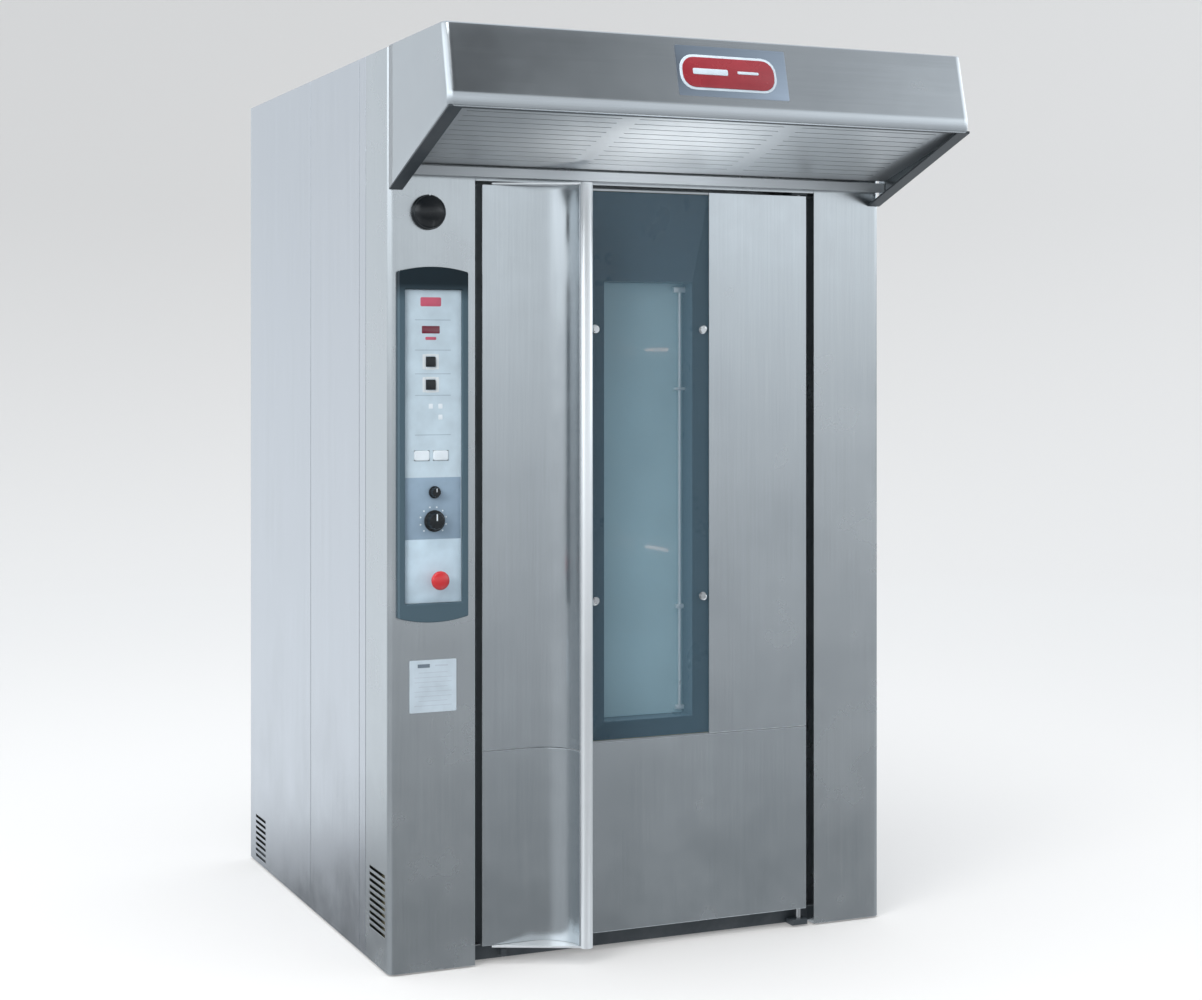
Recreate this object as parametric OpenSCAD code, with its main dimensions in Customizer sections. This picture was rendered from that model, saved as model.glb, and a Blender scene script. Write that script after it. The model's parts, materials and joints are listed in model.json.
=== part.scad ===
// Rotary rack oven with a canopy hood, a full-height pull on a glazed door and a control column.
// Places are given as [x, depth, z]: depth runs backwards from the front plane of the cabinet.

/* [Cabinet] */
// Width of the cabinet
body_w = 1500; // [1480:10:1560]
// Depth of the cabinet without the hood
body_d = 1464; // [1450:2:1520]
// Height of the cabinet and of the hood
body_h = 2460; // [2460:10:2520]
// Thickness of the stainless sheets
sheet = 2; // [1.5:0.5:3]
// Width of the left column, which holds the controls
left_col_w = 242; // [238:1:244]
// Width of the right column
right_col_w = 219; // [215:1:222]
// Depth of the columns' outer side returns
col_return = 203; // [195:1:204]
// Radius of the columns' front corners
corner_r = 20; // [10:1:20]

/* [Door] */
// Width of the door
door_w = 993; // [985:1:995]
// Sideways shift of the door and the chamber from the middle
door_shift = 9.5; // [8:0.5:11]
// Thickness of the door
door_t = 90; // [86:1:92]
// Height of the door's lower edge
door_z0 = 53; // [52:1:56]
// Height of the door's upper edge
door_z1 = 2101; // [2090:1:2102]
// Height of the seam between the upper and lower skins
door_seam_z = 577; // [560:1:590]
// Radius of the flare that carries the pull
flare_r = 103; // [96:1:108]
// Width of the flat part of the left skin
flat_w = 137; // [130:1:142]
// Width of the pull's rounded tube
rim_w = 34; // [30:1:36]
// Depth of the pull's rounded tube
rim_d = 30; // [26:1:32]
// Distance of the hinge axis from the door's right edge
hinge_inset = 17; // [16:1:20]
// Depth of the hinge axis behind the front plane
hinge_b = 18; // [16:1:20]
// Diameter of the hinge pins
pivot_d = 16; // [14:1:18]

/* [Window] */
// Width of the outer pane
pane_w = 376; // [360:1:380]
// Width of the clear opening
clear_w = 270; // [250:1:280]
// Lower edge of the clear opening
clear_z0 = 630; // [620:1:650]
// Upper edge of the clear opening
clear_z1 = 1847; // [1800:1:1860]
// Thickness of the panes
pane_t = 6; // [5:1:6]

/* [Hood] */
// How far the hood's lower front edge stands out
hood_out = 474; // [470:1:500]
// How far the hood's upper front edge stands out
hood_top_out = 430; // [420:1:440]
// Height of the slanted fascia
fascia_h = 215; // [210:1:220]
// Height of the cheeks' lowest point, at the cabinet's front plane
cheek_z = 2078; // [2070:1:2085]
// Height of the upright band along the fascia's lower edge
hood_band = 37; // [30:1:44]
// Width of the flange along the cheeks' lower edges
cheek_flange = 38; // [30:1:44]

/* [Chamber] */
// Width of the baking chamber
chamber_w = 1060; // [1056:1:1064]
// Depth of the baking chamber
chamber_d = 1060; // [1056:1:1064]
// Height of the chamber's floor surface
floor_z = 60; // [58:1:62]
// Height of the chamber's ceiling
ceiling_z = 2060; // [2056:1:2064]

/* [Controls] */
// Width of the control bezel
bezel_w = 193; // [188:1:196]
// Lower end of the bezel
bezel_z0 = 933; // [928:1:938]
// Upper end of the bezel
bezel_z1 = 1876; // [1870:1:1880]
// How far the bezel stands out
bezel_out = 22; // [18:1:26]
// Diameter of the main switch
main_d = 94; // [86:1:98]
// Diameter of the large selector
large_d = 58; // [50:1:62]
// Diameter of the small selector
small_d = 33; // [28:1:36]
// Diameter of the emergency stop
stop_d = 50; // [44:1:54]

/* [Drive] */
// Diameter of the carousel shaft
shaft_d = 30; // [28:1:32]
// Distance from the carousel shaft to the gearmotor shaft
belt_c = 260; // [250:1:270]
// Radius of the motor pulley
pulley_small_r = 30; // [28:1:32]
// Radius of the carousel pulley
pulley_large_r = 100; // [96:1:104]
// Radius of the circulation fan
fan_r = 170; // [160:1:175]
// Radius of the hood fan
hood_fan_r = 88; // [80:1:90]
// Outer diameter of the duct spigots
spigot_d = 120; // [116:1:120]

/* [Hidden] */
$fn = 64;
run_gap = 0.1;
half_w = body_w / 2;
front_y = -(body_d - hood_out) / 2;
left_col_x = left_col_w - half_w;
right_col_x = half_w - right_col_w;
base_top = 46;
panel_z0 = 5;
panel_z1 = body_h - 4;
seam = 3;
joint_gap = 0.5;

// Door
door_x0 = door_shift - door_w / 2;
door_x1 = door_shift + door_w / 2;
hinge_x = door_x1 - hinge_inset;
skin = 3;
plate_b = skin + sheet;
pane_x0 = door_shift - pane_w / 2;
pane_x1 = door_shift + pane_w / 2;
clear_x0 = door_shift - clear_w / 2;
clear_x1 = door_shift + clear_w / 2;
pane_z0 = door_seam_z + 3;
pane_z1 = door_z1 - 6;
border_b = skin + pane_t + 1;
flare_x = door_x0 + flat_w;
rim_x0 = flare_x + flare_r + skin;
rim_b = -flare_r;
gusset_t = 6;
pin_z0 = 14;
gasket_t = 9.5;

// Chamber and ducts
jamb_b = door_t + 10;
jamb_t = 4;
jamb_x0 = left_col_x + 78;
jamb_x1 = right_col_x - 84;
jamb_top = ceiling_z - 10;
chamber_x0 = door_shift - chamber_w / 2;
chamber_x1 = door_shift + chamber_w / 2;
chamber_b0 = jamb_b + jamb_t;
chamber_b1 = chamber_b0 + chamber_d;
side_duct = 98;
rear_duct = 216;
liner_x0 = chamber_x0 - side_duct;
liner_x1 = chamber_x1 + side_duct;
liner_b = chamber_b1 + rear_duct;
wool_x = half_w - 50;
wool_b = body_d - 50;
roof_z = ceiling_z + 62;
axis_b = chamber_b0 + chamber_d / 2;

// Roof equipment
plenum_w = 620;
plenum_b0 = 770;
plenum_z1 = roof_z + 100;
fan_b = plenum_b0 + 200;
fan_shaft_d = 24;
fan_eye_d = 1.5 * fan_r;
shaft_hole_d = 60;
air_slot_half = 280;
pulley_z = roof_z + 150;
pulley_h = 30;
belt_t = 6;
exhaust_x = -360;
exhaust_b = 380;
exhaust_z1 = body_h - 40;
exhaust_z0 = exhaust_z1 - 120;
exhaust_d = spigot_d + 4;
damper_z = roof_z + 120;
water_x = 360;
water_b = liner_b - 40;
water_d = 21.3;

// Hood
fascia_z = body_h - fascia_h;
gutter_z0 = door_z1 + 17;
gutter_z1 = gutter_z0 + 25;
gutter_b = 34;
hood_fan_x = 300;
hood_fan_b = -190;
hood_fan_z = body_h - 130;
hood_duct_z0 = body_h - 126;
hood_duct_z1 = body_h - 52;
hood_spigot_b = 160;

// Controls
bezel_x = left_col_x - 123;
key_face = 8;
overlay_w = 160;
overlay_z0 = 985;
overlay_z1 = 1815;
main_x = bezel_x - 10;
main_z = 2021;
button_x = bezel_x - 6;
button_side = 26;
button_z = [1624, 1563];
key_size = [43, 27];
key_x = [bezel_x - 31, bezel_x + 22];
key_z = 1375;
small_x = bezel_x + 3;
small_z = 1278;
large_x = bezel_x + 1;
large_z = 1202;
stop_x = bezel_x + 12;
stop_z = 1045;

// A block between two x values, two depths and two heights
module slab(x, b, z) {
    translate([x[0], front_y + b[0], z[0]])
        cube([x[1] - x[0], b[1] - b[0], z[1] - z[0]]);
}

// An upright round bar
module rod_z(x, b, z, d) {
    translate([x, front_y + b, z[0]]) cylinder(h = z[1] - z[0], d = d);
}

// A round bar that runs from front to back
module rod_b(x, b, z, d) {
    translate([x, front_y + b[0], z])
        rotate([-90, 0, 0]) cylinder(h = b[1] - b[0], d = d);
}

// A round bar that runs from left to right
module rod_x(x, b, z, d) {
    translate([x[0], front_y + b, z])
        rotate([0, 90, 0]) cylinder(h = x[1] - x[0], d = d);
}

// A side outline, drawn as [depth, z], carried from x[0] to x[1]
module side_prism(x) {
    translate([x[0], front_y, 0])
        rotate([90, 0, 90]) linear_extrude(x[1] - x[0]) children();
}

// A plan outline, drawn as [x, depth], carried from z[0] to z[1]
module plan_prism(z) {
    translate([0, front_y, z[0]]) linear_extrude(z[1] - z[0]) children();
}

// A front outline, drawn as [x, z], carried from depth b[0] to b[1]
module front_prism(b) {
    translate([0, front_y + b[1], 0])
        rotate([90, 0, 0]) linear_extrude(b[1] - b[0]) children();
}

// A plan rectangle with its front left corner rounded
module corner_rect(w, d, r) {
    translate([r, 0]) square([w - r, d]);
    translate([0, r]) square([w, d - r]);
    translate([r, r]) circle(r);
}

// A rectangle with four rounded corners, centred
module round_rect(w, h, r) {
    square([w - 2 * r, h], center = true);
    square([w, h - 2 * r], center = true);
    for (sx = [-1, 1], sy = [-1, 1])
        translate([sx * (w / 2 - r), sy * (h / 2 - r)]) circle(r);
}

// ---- Base and cabinet ----

foot_h = 6;
foot_d = 70;
beam = 60;
base_b = [40, body_d - 9];

module feet() {
    color("dimgray")
        for (sx = [-1, 1], b = [base_b[0] + 35, body_d / 2, base_b[1] - 35])
            rod_z(sx * (half_w - 45), b, [0, foot_h], foot_d);
}

// Two side members with four cross members between them, and a small door stop in front
module base_frame() {
    edge = half_w - 6;
    inner = edge - beam - joint_gap;
    color("darkslategray") {
        for (side = [0, 1])
            mirror([side, 0, 0]) slab([edge - beam, edge], base_b, [foot_h, base_top]);
        for (b = [base_b[0], 520, 960, base_b[1] - beam])
            slab([-inner, inner], [b, b + beam], [foot_h, base_top]);
        slab([door_x0 + 62, door_x0 + 78], [20, base_b[0]], [13, 35]);
    }
}

post = 40;
post_x = [half_w - 4 - post, half_w - 4];

post_b = [206, 732, body_d - 6 - post];
rail_z = [body_h - 50, body_h - 50 + post];

// Three posts on each side, a rail along their tops and three rails across the cabinet
module cabinet_frame() {
    inner = post_x[0] - joint_gap;
    color("slategray") {
        for (side = [0, 1]) mirror([side, 0, 0]) {
            for (b = post_b)
                slab(post_x, [b, b + post], [base_top, rail_z[0] - joint_gap]);
            slab(post_x, [post_b[0], post_b[2] + post], rail_z);
        }
        for (b = post_b)
            slab([-inner, inner], [b, b + post], rail_z);
    }
}

// A folded front column: front face, deep outer return, and a shallow jamb return
// that stops above the base frame
module column_sheet(w) {
    translate([-half_w, 0, 0])
        difference() {
            plan_prism([panel_z0, panel_z1])
                difference() {
                    corner_rect(w, col_return, corner_r);
                    translate([sheet, sheet])
                        corner_rect(w - 2 * sheet, col_return, corner_r - sheet);
                    translate([w - 2 * sheet, jamb_b - 1]) square([3 * sheet, col_return]);
                }
            slab([w - 2 * sheet, w + 1], [base_b[0] - 1, jamb_b], [0, base_top + 1]);
        }
}

// Louvres low in a column's outer return, on the left side
module column_louvres() {
    for (i = [0 : louvre_count - 1])
        slab([-half_w - 1, sheet - half_w + 1], [34, 170],
             [louvre_z0 + i * louvre_pitch, louvre_z0 + i * louvre_pitch + louvre_h]);
}

louvre_count = 10;
louvre_pitch = 17.5;
louvre_h = 9;
louvre_z0 = 95;

module left_column() {
    color("gainsboro")
        difference() {
            column_sheet(left_col_w);
            column_louvres();
            slab([bezel_x - 70, bezel_x + 70], [-1, sheet + 1], [overlay_z0 + 15, overlay_z1 - 15]);
            rod_b(main_x, [-1, sheet + 1], main_z, 24);
        }
}

module right_column() {
    color("gainsboro")
        mirror([1, 0, 0])
            difference() {
                column_sheet(right_col_w);
                column_louvres();
            }
}

lintel_z0 = door_z1 + 9;

module lintel() {
    span = [left_col_x + 1, right_col_x - 1];
    color("lightsteelblue")
        difference() {
            union() {
                slab(span, [0, sheet], [lintel_z0, panel_z1]);
                slab(span, [0, jamb_b - 1], [lintel_z0, lintel_z0 + sheet]);
            }
            slab([hood_fan_x - hood_duct_half - 4, hood_fan_x + hood_duct_half + 4], [-1, sheet + 1],
                 [hood_duct_z0 - 3, hood_duct_z1 + 3]);
            rod_z(hinge_x, hinge_b, [lintel_z0 - 1, lintel_z0 + sheet + 1], pivot_d + 4);
        }
}

strip_b = [col_return + seam, 262];
mid_b = [strip_b[1] + seam, 748];
rear_b = [mid_b[1] + seam, body_d - sheet];

rear_louvre_b = [1275, 1398];
rear_louvre_z0 = 22;
rear_louvre_pitch = 18;

// One side of the cabinet, seen from the left: cover strip, middle panel, rear panel
module side_panels() {
    x = [-half_w, sheet - half_w];
    z = [panel_z0, panel_z1];
    slab(x, strip_b, z);
    slab(x, mid_b, z);
    difference() {
        slab(x, rear_b, z);
        for (i = [0 : 7])
            let (z0 = rear_louvre_z0 + i * rear_louvre_pitch)
                slab([x[0] - 1, x[1] + 1], rear_louvre_b, [z0, z0 + louvre_h]);
    }
}

module left_panels() {
    color("lightsteelblue") side_panels();
}

module right_panels() {
    color("lightsteelblue") mirror([1, 0, 0]) side_panels();
}

rear_seam_z = 1240;
vent_half = 260;
vent_pitch = 24;
vent_h = 12;

// A row of vent slots through the rear panel, from a height upwards
module rear_vents(count, z0) {
    for (i = [0 : count - 1])
        slab([-vent_half, vent_half], [body_d - sheet - 1, body_d + 1],
             [z0 + i * vent_pitch, z0 + i * vent_pitch + vent_h]);
}

module rear_panel() {
    b = [body_d - sheet, body_d];
    color("silver") {
        difference() {
            slab([-half_w, half_w], b, [panel_z0, rear_seam_z]);
            rear_vents(12, 140);
        }
        difference() {
            slab([-half_w, half_w], b, [rear_seam_z + seam, panel_z1]);
            rear_vents(8, 2160);
        }
    }
}

module roof_deck() {
    edge = post_x[0] - 2;
    color("silver")
        difference() {
            slab([-edge, edge], [jamb_b, body_d - 50], [roof_z, roof_z + 2]);
            slab([door_shift - plenum_w / 2 - 2, door_shift + plenum_w / 2 + 2],
                 [plenum_b0 - 2, liner_b + 4], [roof_z - 1, roof_z + 3]);
            rod_z(door_shift, axis_b, [roof_z - 1, roof_z + 3], shaft_hole_d);
            rod_z(exhaust_x, exhaust_b, [roof_z - 1, roof_z + 3], exhaust_d + 2);
            rod_z(water_x, water_b, [roof_z - 1, roof_z + 3], water_d + 2);
        }
}

// Mineral wool slabs between the chamber casing and the outer panels
module insulation() {
    gap = 1;
    z = [base_top + gap, ceiling_z + 4];
    b = [chamber_b0 + gap, liner_b + sheet + gap];
    top_z = [ceiling_z + 4, roof_z - gap];
    color("khaki") {
        slab([-wool_x, liner_x0 - sheet - gap], [b[0], wool_b], z);
        slab([liner_x1 + sheet + gap, wool_x], [b[0], wool_b], z);
        slab([liner_x0 - sheet, liner_x1 + sheet], [b[1], wool_b], z);
        difference() {
            slab([-wool_x, wool_x], [b[0], wool_b], [top_z[0] + gap, top_z[1]]);
            slab([door_shift - plenum_w / 2 - gap, door_shift + plenum_w / 2 + gap],
                 [plenum_b0 - gap, liner_b + 5], [top_z[0], top_z[1] + 1]);
            rod_z(door_shift, axis_b, [top_z[0], top_z[1] + 1], shaft_hole_d);
            rod_z(exhaust_x, exhaust_b, [top_z[0], top_z[1] + 1], exhaust_d + 2);
            rod_z(water_x, water_b, [top_z[0], top_z[1] + 1], water_d + 2);
        }
    }
}

// ---- Chamber ----

module door_jamb() {
    color("silver")
        difference() {
            slab([-wool_x, wool_x], [jamb_b, chamber_b0], [base_top, roof_z - 2]);
            slab([jamb_x0, jamb_x1], [jamb_b - 1, chamber_b0 + 1], [floor_z, jamb_top]);
        }
}

module chamber_floor() {
    color("silver") {
        slab([liner_x0, liner_x1], [chamber_b0, liner_b], [base_top, floor_z]);
        slab([left_col_x + 1, right_col_x - 1], [base_b[0], jamb_b], [base_top, base_top + 2]);
    }
}

module liner_panels() {
    z = [base_top, ceiling_z + 2];
    color("silver") {
        slab([liner_x0 - sheet, liner_x0], [chamber_b0, liner_b], z);
        slab([liner_x1, liner_x1 + sheet], [chamber_b0, liner_b], z);
        slab([liner_x0 - sheet, liner_x1 + sheet], [liner_b, liner_b + sheet], z);
    }
}

module chamber_ceiling() {
    z = [ceiling_z, ceiling_z + 2];
    hole = [ceiling_z - 1, ceiling_z + 3];
    color("silver")
        difference() {
            slab([liner_x0, liner_x1], [chamber_b0, liner_b], z);
            rod_z(door_shift, axis_b, hole, shaft_hole_d);
            rod_z(door_shift, fan_b, hole, fan_eye_d);
            slab([door_shift - air_slot_half, door_shift + air_slot_half],
                 [chamber_b1 + 20, liner_b - 60], hole);
            rod_z(exhaust_x, exhaust_b, hole, exhaust_d);
            rod_z(water_x, water_b, hole, water_d);
        }
}

slot_rows = 13;
slot_pitch = 150;
slot_h = 16;
slot_z0 = floor_z + 110;
side_slot_b0 = 170;
side_slot_w = 250;
side_slot_pitch = 320;
rear_slot_mid = 250;
rear_slot_half = 160;

module diffuser_panels() {
    z = [floor_z, ceiling_z - 1];
    color("gainsboro") {
        for (x = [chamber_x0 - sheet, chamber_x1])
            difference() {
                slab([x, x + sheet], [chamber_b0, chamber_b1 - 2], z);
                for (row = [0 : slot_rows - 1], col = [0 : 2])
                    let (b = side_slot_b0 + col * side_slot_pitch, z = slot_z0 + row * slot_pitch)
                        slab([x - 1, x + sheet + 1], [b, b + side_slot_w], [z, z + slot_h]);
            }
        difference() {
            slab([chamber_x0, chamber_x1], [chamber_b1, chamber_b1 + sheet], z);
            for (row = [0 : slot_rows - 1], col = [-1, 1])
                let (mid = door_shift + col * rear_slot_mid, z = slot_z0 + row * slot_pitch)
                    slab([mid - rear_slot_half, mid + rear_slot_half],
                         [chamber_b1 - 1, chamber_b1 + sheet + 1], [z, z + slot_h]);
        }
    }
}

element_d = 8.5;
element_bend = 30;
element_x = [door_shift - 380, door_shift + 290];

// A tubular heating element, bent back on itself at its right end
module hairpin(b, z) {
    for (dz = [-1, 1])
        rod_x(element_x, b, z + dz * element_bend, element_d);
    translate([element_x[1], front_y + b, z]) rotate([90, 0, 0])
        rotate_extrude(angle = 180, start = -90) translate([element_bend, 0]) circle(d = element_d);
}

element_pitch = 30;
element_z = [1000, 1240, 1480];

module heating_elements() {
    margin = 60;
    color("dimgray") {
        for (i = [0 : 4], z = element_z)
            hairpin(chamber_b1 + 46 + i * element_pitch, z);
        slab([element_x[0] - 4, element_x[0]], [chamber_b1 + 20, liner_b - 20],
             [element_z[0] - margin, element_z[2] + margin]);
    }
}

tray_count = 8;
tray_pitch = 75;
tray_z0 = 180;
tray_t = 10;
tray_shift = 40;
tray_half = 300;
tray_cheek_z1 = 820;
spray_z = 850;
valve_d = 48;

// Hot trays staggered front to back between two cheeks, and the water pipe with its valve body
module steam_generator() {
    x = [door_shift - tray_half, door_shift + tray_half];
    b = [chamber_b1 + 30, liner_b - 70];
    cheek_t = 6;
    color("slategray") {
        for (side = [x[0] - cheek_t, x[1]])
            slab([side, side + cheek_t], b, [floor_z, tray_cheek_z1]);
        for (i = [0 : tray_count - 1])
            let (shift = (i % 2) * tray_shift, z = tray_z0 + i * tray_pitch)
                slab(x, [b[0] + shift, b[1] - tray_shift + shift], [z, z + tray_t]);
        rod_x([x[0] + 20, water_x + water_d / 2], water_b, spray_z, water_d);
        rod_z(water_x, water_b, [spray_z, roof_z + 60], water_d);
        rod_z(water_x, water_b, [roof_z + 20, roof_z + 32], valve_d);
    }
}

lamp_b = [940, 1130];
lamp_h = 54;

module chamber_lamps() {
    color("lightyellow")
        for (z = [1666, 1004])
            slab([chamber_x1 - 20, chamber_x1], lamp_b, [z - lamp_h / 2, z + lamp_h / 2]);
}

// ---- Circulation fan ----

module fan_plenum() {
    x = [door_shift - plenum_w / 2, door_shift + plenum_w / 2];
    color("silver")
        difference() {
            slab(x, [plenum_b0, liner_b], [ceiling_z + 2, plenum_z1]);
            slab([x[0] + 3, x[1] - 3], [plenum_b0 + 3, liner_b - 3], [ceiling_z + 1, plenum_z1 - 3]);
            rod_z(door_shift, fan_b, [plenum_z1 - 4, plenum_z1 + 1], shaft_hole_d);
        }
}

fan_blades = 12;

module circulation_fan() {
    z0 = ceiling_z + 12;
    z1 = plenum_z1 - 40;
    color("gray") {
        difference() {
            rod_z(door_shift, fan_b, [z0, z0 + 4], 2 * fan_r);
            rod_z(door_shift, fan_b, [z0 - 1, z0 + 5], 1.36 * fan_r);
        }
        rod_z(door_shift, fan_b, [z1 - 5, z1], 2 * fan_r);
        rod_z(door_shift, fan_b, [z1, z1 + 20], 50);
        rod_z(door_shift, fan_b, [z1 + 20, plenum_z1 + 70], fan_shaft_d);
        for (i = [0 : fan_blades - 1])
            translate([door_shift, front_y + fan_b, z0 + 3])
                rotate([0, 0, i * 360 / fan_blades]) translate([0.7 * fan_r, -1.5, 0])
                    rotate([0, 0, 25]) cube([0.28 * fan_r, 3, z1 - z0 - 6]);
    }
}

fan_motor_d = 160;

module fan_motor() {
    z0 = plenum_z1;
    z1 = body_h - 20;
    color("steelblue")
        difference() {
            union() {
                rod_z(door_shift, fan_b, [z0, z0 + 12], 200);
                rod_z(door_shift, fan_b, [z0 + 12, z1 - 34], fan_motor_d - 16);
                rod_z(door_shift, fan_b, [z1 - 34, z1], fan_motor_d);
                for (i = [0 : 8])
                    rod_z(door_shift, fan_b, [z0 + 24 + i * 16, z0 + 30 + i * 16], fan_motor_d);
                slab([door_shift + 60, door_shift + 110], [fan_b - 45, fan_b + 45], [z0 + 60, z0 + 130]);
            }
            rod_z(door_shift, fan_b, [z0 - 1, z0 + 72], fan_shaft_d + run_gap);
        }
}

// ---- Carousel drive ----

motor_b = axis_b - belt_c;

module gearmotor() {
    z0 = roof_z + 2;
    color("steelblue")
        difference() {
            union() {
                slab([door_shift - 75, door_shift + 75], [motor_b - 75, motor_b + 75], [z0, z0 + 10]);
                slab([door_shift - 60, door_shift + 60], [motor_b - 60, motor_b + 60], [z0 + 10, z0 + 118]);
                rod_z(door_shift, motor_b, [z0 + 118, z0 + 130], 90);
                rod_x([door_shift + 60, door_shift + 78], motor_b, z0 + 68, 130);
                rod_x([door_shift + 78, door_shift + 290], motor_b, z0 + 68, 106);
                for (i = [0 : 8])
                    rod_x([door_shift + 92 + i * 18, door_shift + 98 + i * 18], motor_b, z0 + 68, 120);
                rod_x([door_shift + 256, door_shift + 300], motor_b, z0 + 68, 122);
            }
            rod_z(door_shift, motor_b, [z0 + 60, z0 + 131], 20 + run_gap);
        }
}

// A belt pulley with two flanges and a bore
module pulley(b, r, bore) {
    difference() {
        union() {
            rod_z(door_shift, b, [pulley_z, pulley_z + pulley_h], 2 * r);
            rod_z(door_shift, b, [pulley_z, pulley_z + 3], 2 * r + 12);
            rod_z(door_shift, b, [pulley_z + pulley_h - 3, pulley_z + pulley_h], 2 * r + 12);
        }
        rod_z(door_shift, b, [pulley_z - 1, pulley_z + pulley_h + 1], bore);
        if (r > 60)
            for (a = [0 : 60 : 300])
                translate([door_shift, front_y + b, pulley_z - 1])
                    rotate([0, 0, a]) translate([0.62 * r, 0, 0]) cylinder(h = pulley_h + 2, d = 0.36 * r);
    }
}

module motor_pulley() {
    color("darkgray") {
        pulley(motor_b, pulley_small_r, 20);
        rod_z(door_shift, motor_b, [roof_z + 80, pulley_z + pulley_h + 4], 20);
    }
}

module shaft_pulley() {
    color("darkgray") pulley(axis_b, pulley_large_r, shaft_d);
}

// The belt's outline at a distance from the pulleys: two circles and their outer tangents
module belt_outline(extra) {
    r1 = pulley_small_r + extra;
    r2 = pulley_large_r + extra;
    lean = asin((r2 - r1) / belt_c);
    c = cos(lean);
    s = sin(lean);
    translate([door_shift, motor_b]) circle(r1);
    translate([door_shift, axis_b]) circle(r2);
    polygon([
        [door_shift - r1 * c, motor_b - r1 * s],
        [door_shift + r1 * c, motor_b - r1 * s],
        [door_shift + r2 * c, axis_b - r2 * s],
        [door_shift - r2 * c, axis_b - r2 * s]
    ]);
}

module drive_belt() {
    color("black")
        plan_prism([pulley_z + 5, pulley_z + pulley_h - 5])
            difference() {
                belt_outline(belt_t);
                belt_outline(0.4);
            }
}

hook_z = 1985;

module carousel_shaft() {
    color("silver") {
        rod_z(door_shift, axis_b, [hook_z + 50, pulley_z + pulley_h + 6], shaft_d);
        rod_z(door_shift, axis_b, [roof_z + 52, roof_z + 66], shaft_d + 20);
    }
}

bolt_out = 50;
flange_half = 65;

// Flanged bearing with four bolt holes
module shaft_bearing() {
    color("darkgray")
        difference() {
            union() {
                slab([door_shift - flange_half, door_shift + flange_half],
                     [axis_b - flange_half, axis_b + flange_half], [roof_z + 2, roof_z + 14]);
                rod_z(door_shift, axis_b, [roof_z + 14, roof_z + 50], 84);
            }
            rod_z(door_shift, axis_b, [roof_z, roof_z + 51], shaft_d + run_gap);
            for (sx = [-1, 1], sb = [-1, 1])
                rod_z(door_shift + sx * bolt_out, axis_b + sb * bolt_out, [roof_z, roof_z + 15], 11);
        }
}

hook_reach = 300;

// Beam under the ceiling that carries and turns the rack by its top
module hook_beam() {
    color("gray") {
        rod_z(door_shift, axis_b, [hook_z, hook_z + 50], 74);
        slab([door_shift - hook_reach, door_shift + hook_reach], [axis_b - 25, axis_b + 25],
             [hook_z + 6, hook_z + 26]);
        for (sx = [-1, 1]) {
            x = door_shift + sx * (hook_reach - 6);
            slab([x - 6, x + 6], [axis_b - 25, axis_b + 25], [hook_z - 60, hook_z + 6]);
            lip = [x - (sx > 0 ? 46 : -6), x + (sx > 0 ? -6 : 46)];
            slab(lip, [axis_b - 25, axis_b + 25], [hook_z - 60, hook_z - 50]);
        }
    }
}

// ---- Exhaust ----

damper_shaft_d = 10;
damper_lever_x = exhaust_x + 88;
damper_lever_w = 18;
damper_lever_reach = 80;

// The wider pipe rises from the ceiling and ends in the spigot for the flue
module exhaust_pipe() {
    reach = 80;
    color("silver")
        difference() {
            union() {
                rod_z(exhaust_x, exhaust_b, [ceiling_z, exhaust_z0], exhaust_d);
                rod_z(exhaust_x, exhaust_b, [exhaust_z0, exhaust_z1], spigot_d);
                rod_z(exhaust_x, exhaust_b, [roof_z + 2, roof_z + 6], exhaust_d + 60);
            }
            rod_z(exhaust_x, exhaust_b, [ceiling_z - 1, exhaust_z1 + 1], spigot_d - 2 * sheet);
            rod_x([exhaust_x - reach, exhaust_x + reach], exhaust_b, damper_z, damper_shaft_d + run_gap);
        }
}

// A disc on a cross shaft, turned by a lever with a round grip
module exhaust_damper() {
    lever_x = [damper_lever_x, damper_lever_x + 6];
    grip_x = [lever_x[1], lever_x[1] + 30];
    half = damper_lever_w / 2;
    color("dimgray") {
        rod_z(exhaust_x, exhaust_b, [damper_z - 1, damper_z + 1], spigot_d - 8);
        rod_x([exhaust_x - exhaust_d / 2 - 4, lever_x[1] + 2], exhaust_b, damper_z, damper_shaft_d);
        slab(lever_x, [exhaust_b - half, exhaust_b + damper_lever_reach + 10],
             [damper_z - half, damper_z + half]);
        rod_x(grip_x, exhaust_b + damper_lever_reach, damper_z, damper_lever_w);
    }
}

// ---- Hood ----

hood_outline = [
    [0, body_h], [-hood_top_out, body_h], [-hood_out, fascia_z + hood_band],
    [-hood_out, fascia_z], [0, cheek_z]
];
hood_hollow = [
    [1, body_h - sheet], [sheet - hood_top_out, body_h - sheet],
    [sheet - hood_out, fascia_z + hood_band],
    [sheet - hood_out, fascia_z + sheet], [1, cheek_z + sheet]
];
hood_lip = 30;

module hood_shell() {
    inner = half_w - cheek_flange;
    color("slategray")
        difference() {
            side_prism([-half_w, half_w]) polygon(hood_outline);
            side_prism([sheet - half_w, half_w - sheet]) polygon(hood_hollow);
            slab([-inner, inner], [hood_lip - hood_out, 1], [cheek_z - 1, fascia_z + 6]);
        }
}

underside_b = [-hood_out + 12, -gutter_b - 2];
underside_z = [fascia_z + 12, gutter_z1 + 6];
underside_t = 4;
grille_rows = 11;
grille_w = 4;
grille_pitch = 33;
grille_first = 50;
grille_half = 210;
grille_col = 470;

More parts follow.
